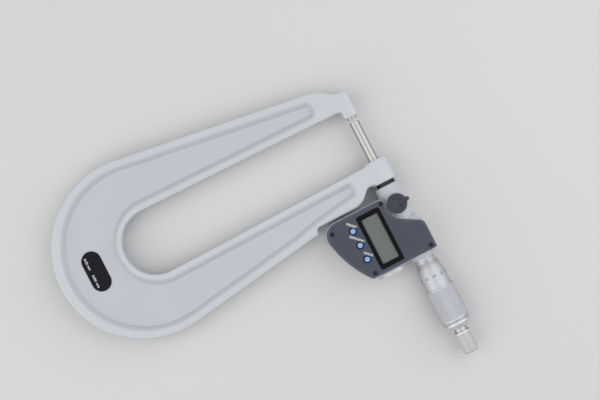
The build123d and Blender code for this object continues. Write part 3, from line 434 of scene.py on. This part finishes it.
def moulding(name, tint, roughness, grain, relief, coat=0.0, gloss=0.5, trace=None):
    """Moulded plastic with a fine spark-eroded grain, and lines of painted highlight where its
    edges catch the light.

    Such a line is given as its lowest and highest Z and how much lighter it is.
    """
    finish = Finish(name, coat_weight=coat, coat_roughness=0.08, specular_ior_level=gloss)
    point = finish.place()
    pits = finish.noise(point, grain, detail=3.0, roughness=0.65)
    drift = finish.noise(point, size=9.0)
    level = 0.97 + 0.07 * (pits - 0.5) + 0.05 * drift
    # Painted highlight: lighter colour in a band of Z where an edge catches the light
    if trace:
        low, high, gain = trace
        soft = 0.02
        level = level + gain * finish.band(
            finish.split(point, "Z"), rise=(low, low + soft), fall=(high - soft, high))
    return finish.surface(
        base_color=finish.shade(tuple(tint), level),
        roughness=roughness - 0.05 + 0.12 * pits,
        normal=finish.bump(pits, relief),
    )


def board_finish(name, mask, copper):
    """Circuit board: solder mask with copper tracks and pads beneath it."""
    finish = Finish(name, coat_weight=0.4, coat_roughness=0.1)
    point = finish.place()
    tracks = finish.node("TexBrick", {
        "Vector": point, "Scale": 0.7, "Mortar Size": 0.06, "Mortar Smooth": 0.2,
        "Color1": (0, 0, 0), "Color2": (0.15, 0.15, 0.15), "Mortar": (1, 1, 1)})
    pads = finish.cells(point, size=2.4) < 0.2
    metal = finish.step(finish.node("RGBToBW", {0: tracks}), low=0.3, high=0.8)
    return finish.surface(
        base_color=finish.blend(metal * 0.35 + pads * 0.6, mask, copper),
        roughness=0.45 - 0.12 * pads,
        normal=finish.bump(metal + pads, 0.03),
    )


def show(material, *nodes):
    """Give CAD nodes their finish."""
    for node in nodes:
        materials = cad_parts[node].data.materials
        materials.clear()
        materials.append(material)


# Shapes


class Shape:
    """Points and faces of one new piece, in metres."""

    def __init__(self):
        self.points = []
        self.faces = []

    def add(self, points, faces):
        """Add points, and faces that count from the first of them."""
        start = len(self.points)
        self.points.extend(points)
        self.faces.extend(tuple(start + corner for corner in face) for face in faces)

    def patch(self, corners):
        """Add one face with these corners."""
        self.add(corners, [range(len(corners))])

    def bridge(self, low, high):
        """Join two rings, given by the numbers of their points. One may be a single point."""
        count = max(len(low), len(high))
        for step in range(count):
            after = (step + 1) % count
            face = tuple(dict.fromkeys((
                low[step % len(low)], low[after % len(low)],
                high[after % len(high)], high[step % len(high)])))
            if len(face) > 2:
                self.faces.append(face)

    def write(self, words, height, move, **style):
        """Add flat lettering, each of its points moved by the function given."""
        flat = lettering(words, height, **style)
        self.add(
            [move(vertex.co) for vertex in flat.verts],
            [[vertex.index for vertex in face.verts] for face in flat.faces],
        )
        flat.free()

    def place(self, name, *materials):
        """Put the shape into the scene as an object of this name."""
        mesh = bpy.data.meshes.new(name)
        mesh.from_pydata(self.points, [], self.faces)
        for material in materials:
            mesh.materials.append(material)
        made = bpy.data.objects.new(name, mesh)
        bpy.context.scene.collection.objects.link(made)
        return made

    def piece(self, name, body, slot, *materials, pick=None):
        """Make the piece and let it ride on its body; the slot given is not used."""
        made = self.place(name, *materials)
        if pick:
            for face in made.data.polygons:
                face.material_index = pick(face)
        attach(made, body)
        return made


def on_axis(x, radius, angle):
    """A point at this distance from the spindle axis, its angle counted from +Z towards +Y."""
    return Vector((x, radius * sin(angle), radius * cos(angle)))


def lathe(shape, profile, segments, place):
    """Turn a profile of (along, radius) places, each point put down by the place function."""
    rings = []
    for along, radius in profile:
        start = len(shape.points)
        count = segments if radius else 1
        shape.points.extend(
            place(along, radius, 2 * pi * step / segments) for step in range(count))
        rings.append(range(start, start + count))
    for low, high in zip(rings, rings[1:]):
        shape.bridge(low, high)


def rounded(corners, steps=3):
    """Break each inner corner of a profile given as (along, radius, rounding)."""
    line = []
    for index, (along, radius, rounding) in enumerate(corners):
        here = Vector((along, radius))
        if not rounding:
            line.append(tuple(here))
            continue
        before = Vector(corners[index - 1][:2]) - here
        after = Vector(corners[index + 1][:2]) - here
        first = here + before.normalized() * rounding
        last = here + after.normalized() * rounding
        for step in range(steps + 1):
            share = step / steps
            line.append(tuple(
                first * (1 - share) ** 2 + here * 2 * share * (1 - share) + last * share ** 2))
    return line


def lettering(words, height, spacing=1.0, stroke=0.0):
    """Words as a flat mesh, centred on the origin, cut into strips so that it can be bent."""
    strips, same_place = 8, 1e-5
    data = bpy.data.curves.new("words", "FONT")
    data.body = words
    data.align_x = "CENTER"
    data.space_character = spacing
    data.offset = stroke
    data.resolution_u = 4
    holder = bpy.data.objects.new("words", data)
    bpy.context.scene.collection.objects.link(holder)
    bpy.context.view_layer.update()
    mesh = bpy.data.meshes.new_from_object(
        holder.evaluated_get(bpy.context.evaluated_depsgraph_get()))
    flat = bmesh.new()
    flat.from_mesh(mesh)
    bpy.data.objects.remove(holder)
    bpy.data.curves.remove(data)
    bpy.data.meshes.remove(mesh)
    bmesh.ops.remove_doubles(flat, verts=flat.verts, dist=same_place)
    heights = [vertex.co.y for vertex in flat.verts]
    low, high = min(heights), max(heights)
    scale, middle = height / (high - low), (high + low) / 2
    for vertex in flat.verts:
        vertex.co = Vector((vertex.co.x * scale, (vertex.co.y - middle) * scale, 0))
    for strip in range(1, strips):
        level = height * (strip / strips - 0.5)
        bmesh.ops.bisect_plane(
            flat, geom=flat.verts[:] + flat.edges[:] + flat.faces[:],
            plane_co=(0, level, 0), plane_no=(0, 1, 0))
    flat.verts.index_update()
    return flat


def weld(made, sharp):
    """Join points that lie on each other, turn the faces outward and round the soft edges."""
    shape = bmesh.new()
    shape.from_mesh(made.data)
    bmesh.ops.remove_doubles(shape, verts=shape.verts, dist=WELD)
    bmesh.ops.recalc_face_normals(shape, faces=shape.faces)
    shape.to_mesh(made.data)
    shape.free()
    made.data.shade_smooth()
    made.data.set_sharp_from_angle(angle=sharp)


def limited(value):
    """The value, kept between 0 and 1."""
    return min(max(value, 0), 1)


def smooth(share):
    """Ease a share that runs from 0 to 1 in and out."""
    return share * share * (3 - 2 * share)


def opening():
    """How far the measuring faces stand apart at rest."""
    return span("spindle_tip", 0)[0] - span("anvil_tip", 0)[1]


def shared(maker, name, *values, **options):
    """A finish that several operators use: made once, and then found by its name."""
    return bpy.data.materials.get(name) or maker(name, *values, **options)


def plated(scene):
    """The satin plate of the thimble and the sleeve."""
    return shared(turned_metal, "satin plate", scene.metal_settings.plated, 0.52, **PLATE)


def knob_plastic(scene):
    """The clamp knob's dark plastic, with a painted highlight along the edge of its face."""
    return shared(
        moulding, "knob plastic", scene.plastic_settings.knob,
        roughness=0.42, grain=0.25, relief=0.006, gloss=0.25, trace=(11.36, 11.62, 0.7))


def mark_paint(scene):
    """Dark paint in the graduations."""
    return shared(
        moulding, "mark paint", scene.mark_settings.ink, roughness=0.55, grain=0.12, relief=0.002)


# Operators


class MICROMETER_OT_castings(bpy.types.Operator):
    """Paint the frame and the head housing"""
    bl_idname = "micrometer.castings"
    bl_label = "Paint castings"

    def execute(self, context):
        settings = context.scene.casting_settings
        show(frame_enamel(settings), "frame")
        show(head_enamel(settings), "head_housing")
        return {"FINISHED"}


class MICROMETER_OT_steel(bpy.types.Operator):
    """Finish the spindle, the anvil, their tips and the other metal pieces"""
    bl_idname = "micrometer.steel"
    bl_label = "Finish metal"

    def execute(self, context):
        settings = context.scene.metal_settings
        show(turned_metal("ground steel", settings.ground, 0.24),
             "spindle", "anvil", "ratchet_body", "ratchet_disc", "ratchet_screw",
             "spindle_nut", "adjusting_nut", "rotor_retainer", "clamp_screw")
        show(lapped_metal("hard metal", settings.hard), "anvil_tip", "spindle_tip")
        show(turned_metal("darkened steel", settings.dark, 0.46, 0.2, 0.003, 0.10),
             "head_stem", "ratchet_spring")
        show(plated(context.scene), "graduated_sleeve")
        bright = settings.bright, 0.5
        show(turned_metal("bright plate", *bright, **PLATE), "thimble_collar")
        for node, ribs in (
                ("ratchet_knob", (0, 0, 5.0)), ("battery_cap", (-21.05, -0.2, 9.65))):
            show(turned_metal("ribbed plate " + node, *bright, ribs=ribs, **PLATE), node)
        show(turned_metal("brass", colour(196, 160, 92), 0.35), "clamp_shoe", "battery_contact")
        show(turned_metal("cell steel", colour(196, 197, 198), 0.28), "battery_cell")
        return {"FINISHED"}


class MICROMETER_OT_mouldings(bpy.types.Operator):
    """Finish the cover, the bezel, the clamp knob, the rubber and the boards"""
    bl_idname = "micrometer.mouldings"
    bl_label = "Finish mouldings"

    def execute(self, context):
        settings = context.scene.plastic_settings
        # Painted highlight: a light line along the cover's bevel
        show(moulding("cover plastic", settings.cover, roughness=0.5, grain=0.22, relief=0.008,
                      gloss=0.25, trace=(11.64, 11.78, 1.3)), "display_cover")
        show(knob_plastic(context.scene), "clamp_knob")
        show(moulding("bezel plastic", settings.bezel, roughness=0.35, grain=0.4, relief=0.002,
                      gloss=0.08), "display_bezel")
        show(turned_metal("blackened steel", colour(58, 58, 62), 0.4, 0.3, 0.004, 0.15),
             "cover_screws")
        show(moulding("plate enamel", colour(26, 26, 34), roughness=0.35, grain=0.3,
                      relief=0.003, gloss=0.1), "range_plate")
        show(moulding("black rubber", colour(30, 30, 31), roughness=0.8, grain=0.2,
                      relief=0.02), "button_pad", "battery_cap_seal")
        show(board_finish("circuit board", colour(24, 82, 52), colour(196, 150, 84)),
             "circuit_board", "encoder_stator", "encoder_rotor")
        return {"FINISHED"}


class MICROMETER_OT_display(bpy.types.Operator):
    """Finish the display, its window and the faint segments that are switched off"""
    bl_idname = "micrometer.display"
    bl_label = "Make display"

    def execute(self, context):
        settings = context.scene.plastic_settings
        finish = Finish("display glass", coat_weight=0.2, coat_roughness=0.2)
        # Painted shade: the display is darker towards its +Y edge
        fall = finish.step(finish.split(finish.place(), "Y"), low=-25.0, high=-12.5)
        grid = finish.noise(finish.place((1, 12, 1)), size=0.5)
        show(finish.surface(
            base_color=finish.shade(tuple(settings.screen), 1.0 - 0.05 * fall + 0.008 * grid),
            roughness=0.34 + 0.05 * grid,
        ), "display_module")
        clear = Finish("clear window", base_color=colour(150, 160, 158), alpha=0.10, ior=1.49)
        scratch = clear.noise(clear.place((1, 0.1, 1)), size=0.3, detail=4.0)
        show(clear.surface(roughness=0.06 + 0.06 * scratch), "display_window")
        self.segments()
        return {"FINISHED"}

    @staticmethod
    def segments():
        """Lay six digits of seven segments each on the display."""
        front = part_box("display_module")[1][2] + PRINT_LIFT
        window_low, window_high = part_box("display_window")
        digits, lean = 6, 0.09
        tall, wide, thick, gap = 6.2 * MM, 3.0 * MM, 0.55 * MM, 0.07 * MM
        room_left, room_both = 1.6 * MM, 3.0 * MM
        inset = gap + thick / 2
        middle = (window_low[1] + window_high[1]) / 2
        pitch = (window_high[0] - window_low[0] - room_both) / digits
        shape = Shape()

        def segment(start, end):
            """One six-sided segment between two places, leaning a little."""
            start, end = Vector(start), Vector(end)
            along = (end - start).normalized() * (thick / 2)
            side = Vector((-along.y, along.x))
            shape.patch([Vector((corner.x + lean * (corner.y - middle), corner.y, front))
                         for corner in (start - along, start + side, end + side,
                                        end + along, end - side, start - side)])

        for digit in range(digits):
            left = window_low[0] + room_left + pitch * digit + (pitch - wide) / 2
            for row in (-1, 0, 1):
                y = middle + row * tall / 2
                segment((left + inset, y), (left + wide - inset, y))
            for side in (0, wide):
                for half in (-1, 0):
                    segment((left + side, middle + half * tall / 2 + inset),
                            (left + side, middle + (half + 1) * tall / 2 - inset))
        ghost = Finish("idle segments", alpha=0.10)
        dots = ghost.noise(ghost.place(), size=0.2)
        shape.piece("display_segments", "frame_unit", "display_grey", ghost.surface(
            base_color=ghost.shade(colour(50, 55, 54), 0.95 + 0.1 * dots),
            roughness=0.3 + 0.1 * dots))


class MICROMETER_OT_thimble(bpy.types.Operator):
    """Turn the thimble with its bevelled edge and the diamond knurl of its grip"""
    bl_idname = "micrometer.thimble"
    bl_label = "Turn thimble"

    def execute(self, context):
        knurl = context.scene.knurl_settings
        start, end = span("thimble", 0)
        grip, bore, tail = 9.1 * MM, 6.45 * MM, 3.02 * MM
        shoulder, crest = grip - 0.06 * MM, grip - 0.02 * MM
        bevel_x, grip_x = start + THIMBLE_BEVEL, start + 17.1 * MM
        wall_x = end - 5.4 * MM
        land, tail_land, chamfer = 1.1 * MM, 2.0 * MM, 0.8 * MM
        segments = 2 * knurl.around
        shape = Shape()
        lathe(shape, rounded([
            (wall_x, tail, 0),
            (wall_x, bore, 0),
            (start, bore, 0),
            (start, THIMBLE_EDGE, 0.08 * MM),
            (bevel_x, THIMBLE_FRONT, 0.5 * MM),
            (grip_x, THIMBLE_FRONT, 0.1 * MM),
            (grip_x, shoulder, 0.12 * MM),
            (grip_x + land, crest, 0),
        ]), segments, on_axis)
        knurl_start, knurl_end = grip_x + land, end - tail_land
        pitch = 2 * pi * grip / knurl.around
        rows = 2 * round((knurl_end - knurl_start) / pitch)
        first = len(shape.points)
        for row in range(rows + 1):
            x = knurl_start + (knurl_end - knurl_start) * row / rows
            for step in range(segments):
                groove = row not in (0, rows) and (row + step) % 2 == 0
                radius = crest - (knurl.depth if groove else 0)
                shape.points.append(on_axis(x, radius, 2 * pi * step / segments))
        for row in range(rows):
            for step in range(segments):
                after = (step + 1) % segments
                here, there = first + row * segments, first + (row + 1) * segments
                a, b, c, d = here + step, here + after, there + after, there + step
                even = (row + step) % 2 == 0
                shape.faces += [(a, b, c), (a, c, d)] if even else [(a, b, d), (b, c, d)]
        lathe(shape, rounded([
            (knurl_end, crest, 0),
            (end - chamfer, crest, 0.1 * MM),
            (end, grip - chamfer, 0.1 * MM),
            (end, tail, 0),
        ]), segments, on_axis)
        lathe(shape, [(end, tail), (wall_x, tail)], segments, on_axis)
        made = shape.piece("thimble_body", "spindle_unit", "satin_chrome", plated(context.scene))
        weld(made, radians(20))
        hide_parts("thimble")
        return {"FINISHED"}


class MICROMETER_OT_thimble_marks(bpy.types.Operator):
    """Lay the thimble's fifty divisions and their numerals"""
    bl_idname = "micrometer.thimble_marks"
    bl_label = "Mark thimble"

    def execute(self, context):
        marks = context.scene.mark_settings
        start = span("thimble", 0)[0]
        inset, short, tall, numeral_x = 0.15 * MM, 2.6 * MM, 4.2 * MM, 9.3 * MM
        # The thimble reads 0 with the faces closed, so its marks are turned back by the opening
        turned = 2 * pi * opening() / THREAD_PITCH
        lines, numerals = Shape(), Shape()
        for division in range(DIVISIONS):
            angle = 2 * pi * division / DIVISIONS - turned
            reach = short if division % NUMBERED else tall
            corners = []
            for x, side in ((inset, -1), (reach, -1), (reach, 1), (inset, 1)):
                cone = THIMBLE_EDGE + (THIMBLE_FRONT - THIMBLE_EDGE) * x / THIMBLE_BEVEL
                radius = cone + PRINT_LIFT
                half = side * marks.line_width / 2 / radius
                corners.append(on_axis(start + x, radius, angle + half))
            lines.patch(corners)
            if division % NUMBERED == 0:
                radius = THIMBLE_FRONT + PRINT_LIFT
                numerals.write(str(division), marks.numeral_height, lambda co: on_axis(
                    start + numeral_x + co.x, radius, angle + co.y / radius))
        paint = mark_paint(context.scene)
        lines.piece("thimble_lines", "spindle_unit", "screw_black", paint)
        numerals.piece("thimble_numerals", "spindle_unit", "screw_black", paint)
        return {"FINISHED"}


class MICROMETER_OT_sleeve_marks(bpy.types.Operator):
    """Lay the sleeve's index line, its millimetre marks and their numerals"""
    bl_idname = "micrometer.sleeve_marks"
    bl_label = "Mark sleeve"

    def execute(self, context):
        marks = context.scene.mark_settings
        start, end = span("graduated_sleeve", 0)
        radius = 6.3 * MM + PRINT_LIFT
        zero_x = span("thimble", 0)[0] - opening()
        half = marks.line_width / 2
        travel = 25  # millimetres
        front_room, end_room, short, tall = 0.6 * MM, 0.4 * MM, 1.5 * MM, 2.1 * MM
        numeral_height, numeral_y, facet = 1.6 * MM, 3.1 * MM, 0.6 * MM
        lines, numerals = Shape(), Shape()

        def strip(x_low, x_high, y_low, y_high):
            """A strip bent round the sleeve in short facets."""
            steps = max(1, round((y_high - y_low) / facet))
            for step in range(steps):
                low = (y_low + (y_high - y_low) * step / steps) / radius
                high = (y_low + (y_high - y_low) * (step + 1) / steps) / radius
                lines.patch([on_axis(x, radius, angle) for x, angle in (
                    (x_low, low), (x_high, low), (x_high, high), (x_low, high))])

        strip(start + front_room, end - end_room, -half, half)
        for count in range(2 * travel + 1):
            x = zero_x + count * THREAD_PITCH
            if count % 2:
                strip(x - half, x + half, -short, half)
            else:
                strip(x - half, x + half, -half, short if count % (2 * NUMBERED) else tall)
        for number in range(0, travel + 1, NUMBERED):
            x = zero_x + number * MM
            numerals.write(str(number), numeral_height, lambda co: on_axis(
                x + co.x, radius, (numeral_y + co.y) / radius))
        paint = mark_paint(context.scene)
        lines.piece("sleeve_lines", "frame_unit", "screw_black", paint)
        numerals.piece("sleeve_numerals", "frame_unit", "screw_black", paint)
        return {"FINISHED"}


class MICROMETER_OT_buttons(bpy.types.Operator):
    """Make the three buttons, each with a light dished top and a flank coloured a darker blue as
    painted shade
    """
    bl_idname = "micrometer.buttons"
    bl_label = "Make buttons"

    def execute(self, context):
        settings = context.scene.plastic_settings
        top = moulding("button top", settings.button_top, 0.3, 0.5, 0.002, coat=0.2)
        # Painted shade: the flank's darker blue stands in for the shade on the buttons' sides
        flank = moulding("button flank", settings.button_flank, 0.4, 0.4, 0.002, gloss=0.15)
        foot, crown, dish = 2.38 * MM, 1.72 * MM, 0.16 * MM
        flange_top, flank_top, edge = 0.6 * MM, 0.75 * MM, 0.05 * MM
        for node, body in (("origin_button", "origin_key"), ("zero_button", "zero_key"),
                           ("hold_button", "hold_key")):
            low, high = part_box(node)
            centre = centre_of(node)
            back, front = low[2], high[2]
            flange = (high[0] - low[0]) / 2
            shape = Shape()
            lathe(shape, rounded([
                (back, 0.0, 0),
                (back, flange, edge),
                (back + flange_top, flange, edge),
                (back + flange_top, foot, 0),
                (front - flank_top, foot, 0.15 * MM),
                (front - edge, crown, 0.25 * MM),
                (front - 0.02 * MM, crown - 0.5 * MM, 0),
                (front - dish, 0.0, 0),
            ], steps=4), 48, lambda along, radius, angle: centre + Vector(
                (radius * cos(angle), radius * sin(angle), along)))
            light_radius, light_depth = crown - 0.12 * MM, 0.3 * MM

            def pick(face):
                """The light top is slot 0, all the rest of the button slot 1."""
                out = (face.center - centre).xy.length
                return 0 if out < light_radius and face.center.z > front - light_depth else 1

            made = shape.piece(node + "_cap", body, "button_blue", top, flank, pick=pick)
            weld(made, radians(50))
            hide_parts(node)
        return {"FINISHED"}


class MICROMETER_OT_clamp_knob(bpy.types.Operator):
    """Sculpt the spindle clamp's knob, whose pointer rises from its face and narrows outward"""
    bl_idname = "micrometer.clamp_knob"
    bl_label = "Make clamp knob"

    def execute(self, context):
        low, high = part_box("clamp_knob")
        round_radius = (high[0] - low[0]) / 2
        centre = Vector(((low[0] + high[0]) / 2, low[1] + round_radius, 0))
        back, face = low[2], low[2] + 3.5 * MM
        fin_height = high[2] - face
        nose_half = 1.3 * MM
        nose_y = high[1] - centre.y - nose_half
        bevel, back_edge = 0.8 * MM, 0.15 * MM
        bore, bore_top = 1.85 * MM, back + 2.65 * MM
        tip_half, root_extra, narrowing = 0.75, 2.6, 2.2
        narrow_y, narrow_length, flank_width = 7.6 * MM, 8.8 * MM, 0.75 * MM
        rise_y, rise_length = 3.4 * MM, 4.4 * MM
        stop_y, stop_length = 1.0 * MM, 1.2 * MM
        # Directions in degrees from the pointer, closer together across the pointer's fan
        fan, fine, coarse = 18, 0.75, 2.25
        in_fan, in_rest = round(fan / fine), round((360 - 2 * fan) / coarse)
        nearly_zero = 1e-6
        angles = [radians(fine * step) for step in range(-in_fan, in_fan)]
        angles += [radians(fan + coarse * step) for step in range(in_rest)]

        def outline(angle):
            """How far the knob reaches in this direction from its middle."""
            side = nose_y * abs(sin(angle))
            if cos(angle) < 0 or side > nose_y:
                return round_radius
            flank_reach = nose_half / max(abs(sin(angle)), nearly_zero)
            if side < nose_half and flank_reach > nose_y:
                reach = nose_y * cos(angle) + (nose_half ** 2 - side ** 2) ** 0.5
            else:
                reach = flank_reach
            return max(round_radius, reach)

        def height(x, y):
            """How high the knob's front is at this place."""
            in_round = round_radius - (x * x + y * y) ** 0.5
            along = min(max(y, 0), nose_y)
            in_nose = nose_half - (x * x + (y - along) ** 2) ** 0.5
            rim = max(bevel - max(in_round, in_nose, 0), 0)
            share = limited((narrow_y - y) / narrow_length)
            half = (tip_half + root_extra * share ** narrowing) * MM
            flank = limited((half - abs(x)) / flank_width + 0.5)
            rise = limited((y + rise_y) / rise_length)
            stop = limited((nose_y + stop_y - y) / stop_length)
            return face - rim + fin_height * smooth(rise) * smooth(flank) * stop

        shape = Shape()
        rows = []

        def row(place):
            """Add one ring of points, one in each direction."""
            start = len(shape.points)
            shape.points.extend(place(angle) for angle in angles)
            rows.append(range(start, start + len(angles)))

        def spot(reach, angle, z):
            """The point this far from the middle in one direction."""
            return centre + Vector((reach * sin(angle), reach * cos(angle), z))

        row(lambda angle: spot(bore, angle, bore_top))
        row(lambda angle: spot(bore, angle, back))
        row(lambda angle: spot(outline(angle) - back_edge, angle, back))
        row(lambda angle: spot(outline(angle), angle, back + back_edge))
        rings = 44
        for ring in range(rings):
            share = 1 - ring / rings

            def top(angle):
                """The point on the front where this ring crosses a direction."""
                reach = outline(angle) * share
                return spot(reach, angle, height(reach * sin(angle), reach * cos(angle)))

            row(top)
        for first, second in zip(rows, rows[1:]):
            shape.bridge(first, second)
        for end, z in ((rows[0], bore_top), (rows[-1], height(0, 0))):
            shape.bridge(end, [len(shape.points)])
            shape.points.append(spot(0, 0, z))
        made = shape.piece(
            "clamp_knob_body", "spindle_clamp", "knob_plastic", knob_plastic(context.scene))
        weld(made, radians(40))
        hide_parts("clamp_knob")
        return {"FINISHED"}


class MICROMETER_OT_labels(bpy.types.Operator):
    """Print the slanted words at the buttons and the range on the plate"""
    bl_idname = "micrometer.labels"
    bl_label = "Print labels"

    def execute(self, context):
        marks = context.scene.mark_settings
        ink = moulding(
            "label print", marks.print_white, roughness=0.5, grain=0.15, relief=0.002)
        front = span("display_cover", 2)[1] + PRINT_LIFT
        turn = Matrix.Rotation(radians(45), 2)
        words = Shape()
        for text, x, y in (
                ("PRESET", 58.6, -31.1), ("ZERO/INC", 67.3, -31.9), ("HOLD", 78.7, -29.9)):
            words.write(text, marks.label_height, lambda co: Vector((
                *(turn @ co.xy + Vector((x, y)) * MM), front)), spacing=1.08, stroke=0.022)
        words.piece("button_labels", "frame_unit", "frame_enamel", ink)
        centre, top = centre_of("range_plate").xy, span("range_plate", 2)[1] + PRINT_LIFT
        plate_height, row_y = 1.5 * MM, -3.0
        plate = Shape()
        for text, along in (("0-25 mm", -6.3), ("0.001 mm", 5.4)):
            plate.write(text, plate_height, lambda co: Vector((
                *(centre + co.xy + Vector((along, row_y)) * MM), top)), spacing=1.05, stroke=0.02)
        plate.piece("range_text", "frame_unit", "frame_enamel", ink)
        return {"FINISHED"}


class MICROMETER_OT_stage(bpy.types.Operator):
    """Set the pale floor, the two soft lamps and the camera over the micrometer"""
    bl_idname = "micrometer.stage"
    bl_label = "Set stage"

    def execute(self, context):
        scene = context.scene
        settings = scene.stage_settings
        floor = Shape()
        reach, clearance = 4.0, 0.02 * MM
        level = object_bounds()[0][2] - clearance
        floor.patch([Vector((x, y, level)) for x, y in (
            (-reach, -reach), (reach, -reach), (reach, reach), (-reach, reach))])
        made = floor.place("floor", self.floor_paint(settings))
        made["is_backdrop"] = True

        middle = Vector((30, -52, 0)) * MM
        lamp_height = 0.66
        for name, y in (("lamp far", 0.62), ("lamp near", -0.72)):
            data = bpy.data.lights.new(name, "AREA")
            data.shape = "SQUARE"
            data.size = settings.lamp_size
            data.energy = settings.lamp_power
            lamp = bpy.data.objects.new(name, data)
            lamp.location = middle + Vector((0, y, lamp_height))
            lamp.rotation_euler = (middle - lamp.location).to_track_quat("-Z", "Y").to_euler()
            scene.collection.objects.link(lamp)

        # Rays from the camera and off shiny pieces see the floor's colour, all others the fill
        world = bpy.data.worlds.new("room")
        world.use_nodes = True
        nodes, links = world.node_tree.nodes, world.node_tree.links
        shown = nodes.new("ShaderNodeBackground")
        shown.inputs["Color"].default_value = (*settings.floor, 1)
        rays = nodes.new("ShaderNodeLightPath")
        mix = nodes.new("ShaderNodeMixShader")
        fill = nodes["Background"]
        fill.inputs["Color"].default_value = (1, 1, 1, 1)
        fill.inputs["Strength"].default_value = settings.sky
        seen = rays.outputs["Is Camera Ray"]
        for kind in ("Is Glossy Ray", "Is Transmission Ray"):
            either = nodes.new("ShaderNodeMath")
            either.operation = "MAXIMUM"
            links.new(seen, either.inputs[0])
            links.new(rays.outputs[kind], either.inputs[1])
            seen = either.outputs[0]
        links.new(seen, mix.inputs["Fac"])
        links.new(fill.outputs[0], mix.inputs[1])
        links.new(shown.outputs[0], mix.inputs[2])
        links.new(mix.outputs[0], nodes["World Output"].inputs["Surface"])
        scene.world = world
        scene.view_settings.view_transform = "Standard"

        # The camera looks straight down, turned so that the spindle lies as in the photograph
        data = bpy.data.cameras.new("camera")
        picture_width = 600 * PIXEL
        data.sensor_width = 36
        data.lens = data.sensor_width * settings.camera_height / picture_width
        camera = bpy.data.objects.new("camera", data)
        picture_middle = 29.97 * MM, -52.07 * MM
        right = Vector((0.4579, 0.8890, 0)).normalized()
        up = Vector((-right.y, right.x, 0))
        turn = Matrix((right, up, (0, 0, 1))).transposed().to_4x4()
        camera.matrix_world = Matrix.Translation(
            (*picture_middle, settings.camera_height)) @ turn
        scene.collection.objects.link(camera)
        scene.camera = camera
        return {"FINISHED"}

    @staticmethod
    def floor_paint(settings):
        """Plain pale paper for the floor."""
        finish = Finish("floor paper")
        grain = finish.noise(finish.place(), size=2.0)
        return finish.surface(
            base_color=finish.shade(tuple(settings.floor), 0.995 + 0.01 * grain),
            roughness=0.8 + 0.05 * grain)


class MICROMETER_PT_panel(bpy.types.Panel):
    """Buttons and settings in the 3D view's sidebar"""
    bl_idname = "MICROMETER_PT_panel"
    bl_label = "Micrometer"
    bl_space_type = "VIEW_3D"
    bl_region_type = "UI"
    bl_category = "Micrometer"

    def draw(self, context):
        for operator in OPERATORS:
            self.layout.operator(operator.bl_idname)
        for name in SETTINGS:
            group = getattr(context.scene, name)
            box = self.layout.box()
            for key in group.__annotations__:
                box.prop(group, key)


OPERATORS = (
    MICROMETER_OT_castings,
    MICROMETER_OT_steel,
    MICROMETER_OT_mouldings,
    MICROMETER_OT_display,
    MICROMETER_OT_thimble,
    MICROMETER_OT_thimble_marks,
    MICROMETER_OT_sleeve_marks,
    MICROMETER_OT_buttons,
    MICROMETER_OT_clamp_knob,
    MICROMETER_OT_labels,
    MICROMETER_OT_stage,
)

SETTINGS = {
    "casting_settings": CastingSettings,
    "metal_settings": MetalSettings,
    "plastic_settings": PlasticSettings,
    "mark_settings": MarkSettings,
    "knurl_settings": KnurlSettings,
    "stage_settings": StageSettings,
}


def register():
    """Register the settings, the operators and the panel."""
    for name, group in SETTINGS.items():
        bpy.utils.register_class(group)
        setattr(bpy.types.Scene, name, bpy.props.PointerProperty(type=group))
    for operator in OPERATORS:
        bpy.utils.register_class(operator)
    bpy.utils.register_class(MICROMETER_PT_panel)


def unregister():
    """Take the panel, the operators and the settings away again."""
    bpy.utils.unregister_class(MICROMETER_PT_panel)
    for operator in reversed(OPERATORS):
        bpy.utils.unregister_class(operator)
    for name, group in SETTINGS.items():
        delattr(bpy.types.Scene, name)
        bpy.utils.unregister_class(group)


def main():
    """Build everything in order."""
    register()
    for operator in OPERATORS:
        family, name = operator.bl_idname.split(".")
        getattr(getattr(bpy.ops, family), name)()


if __name__ == "__main__":
    main()
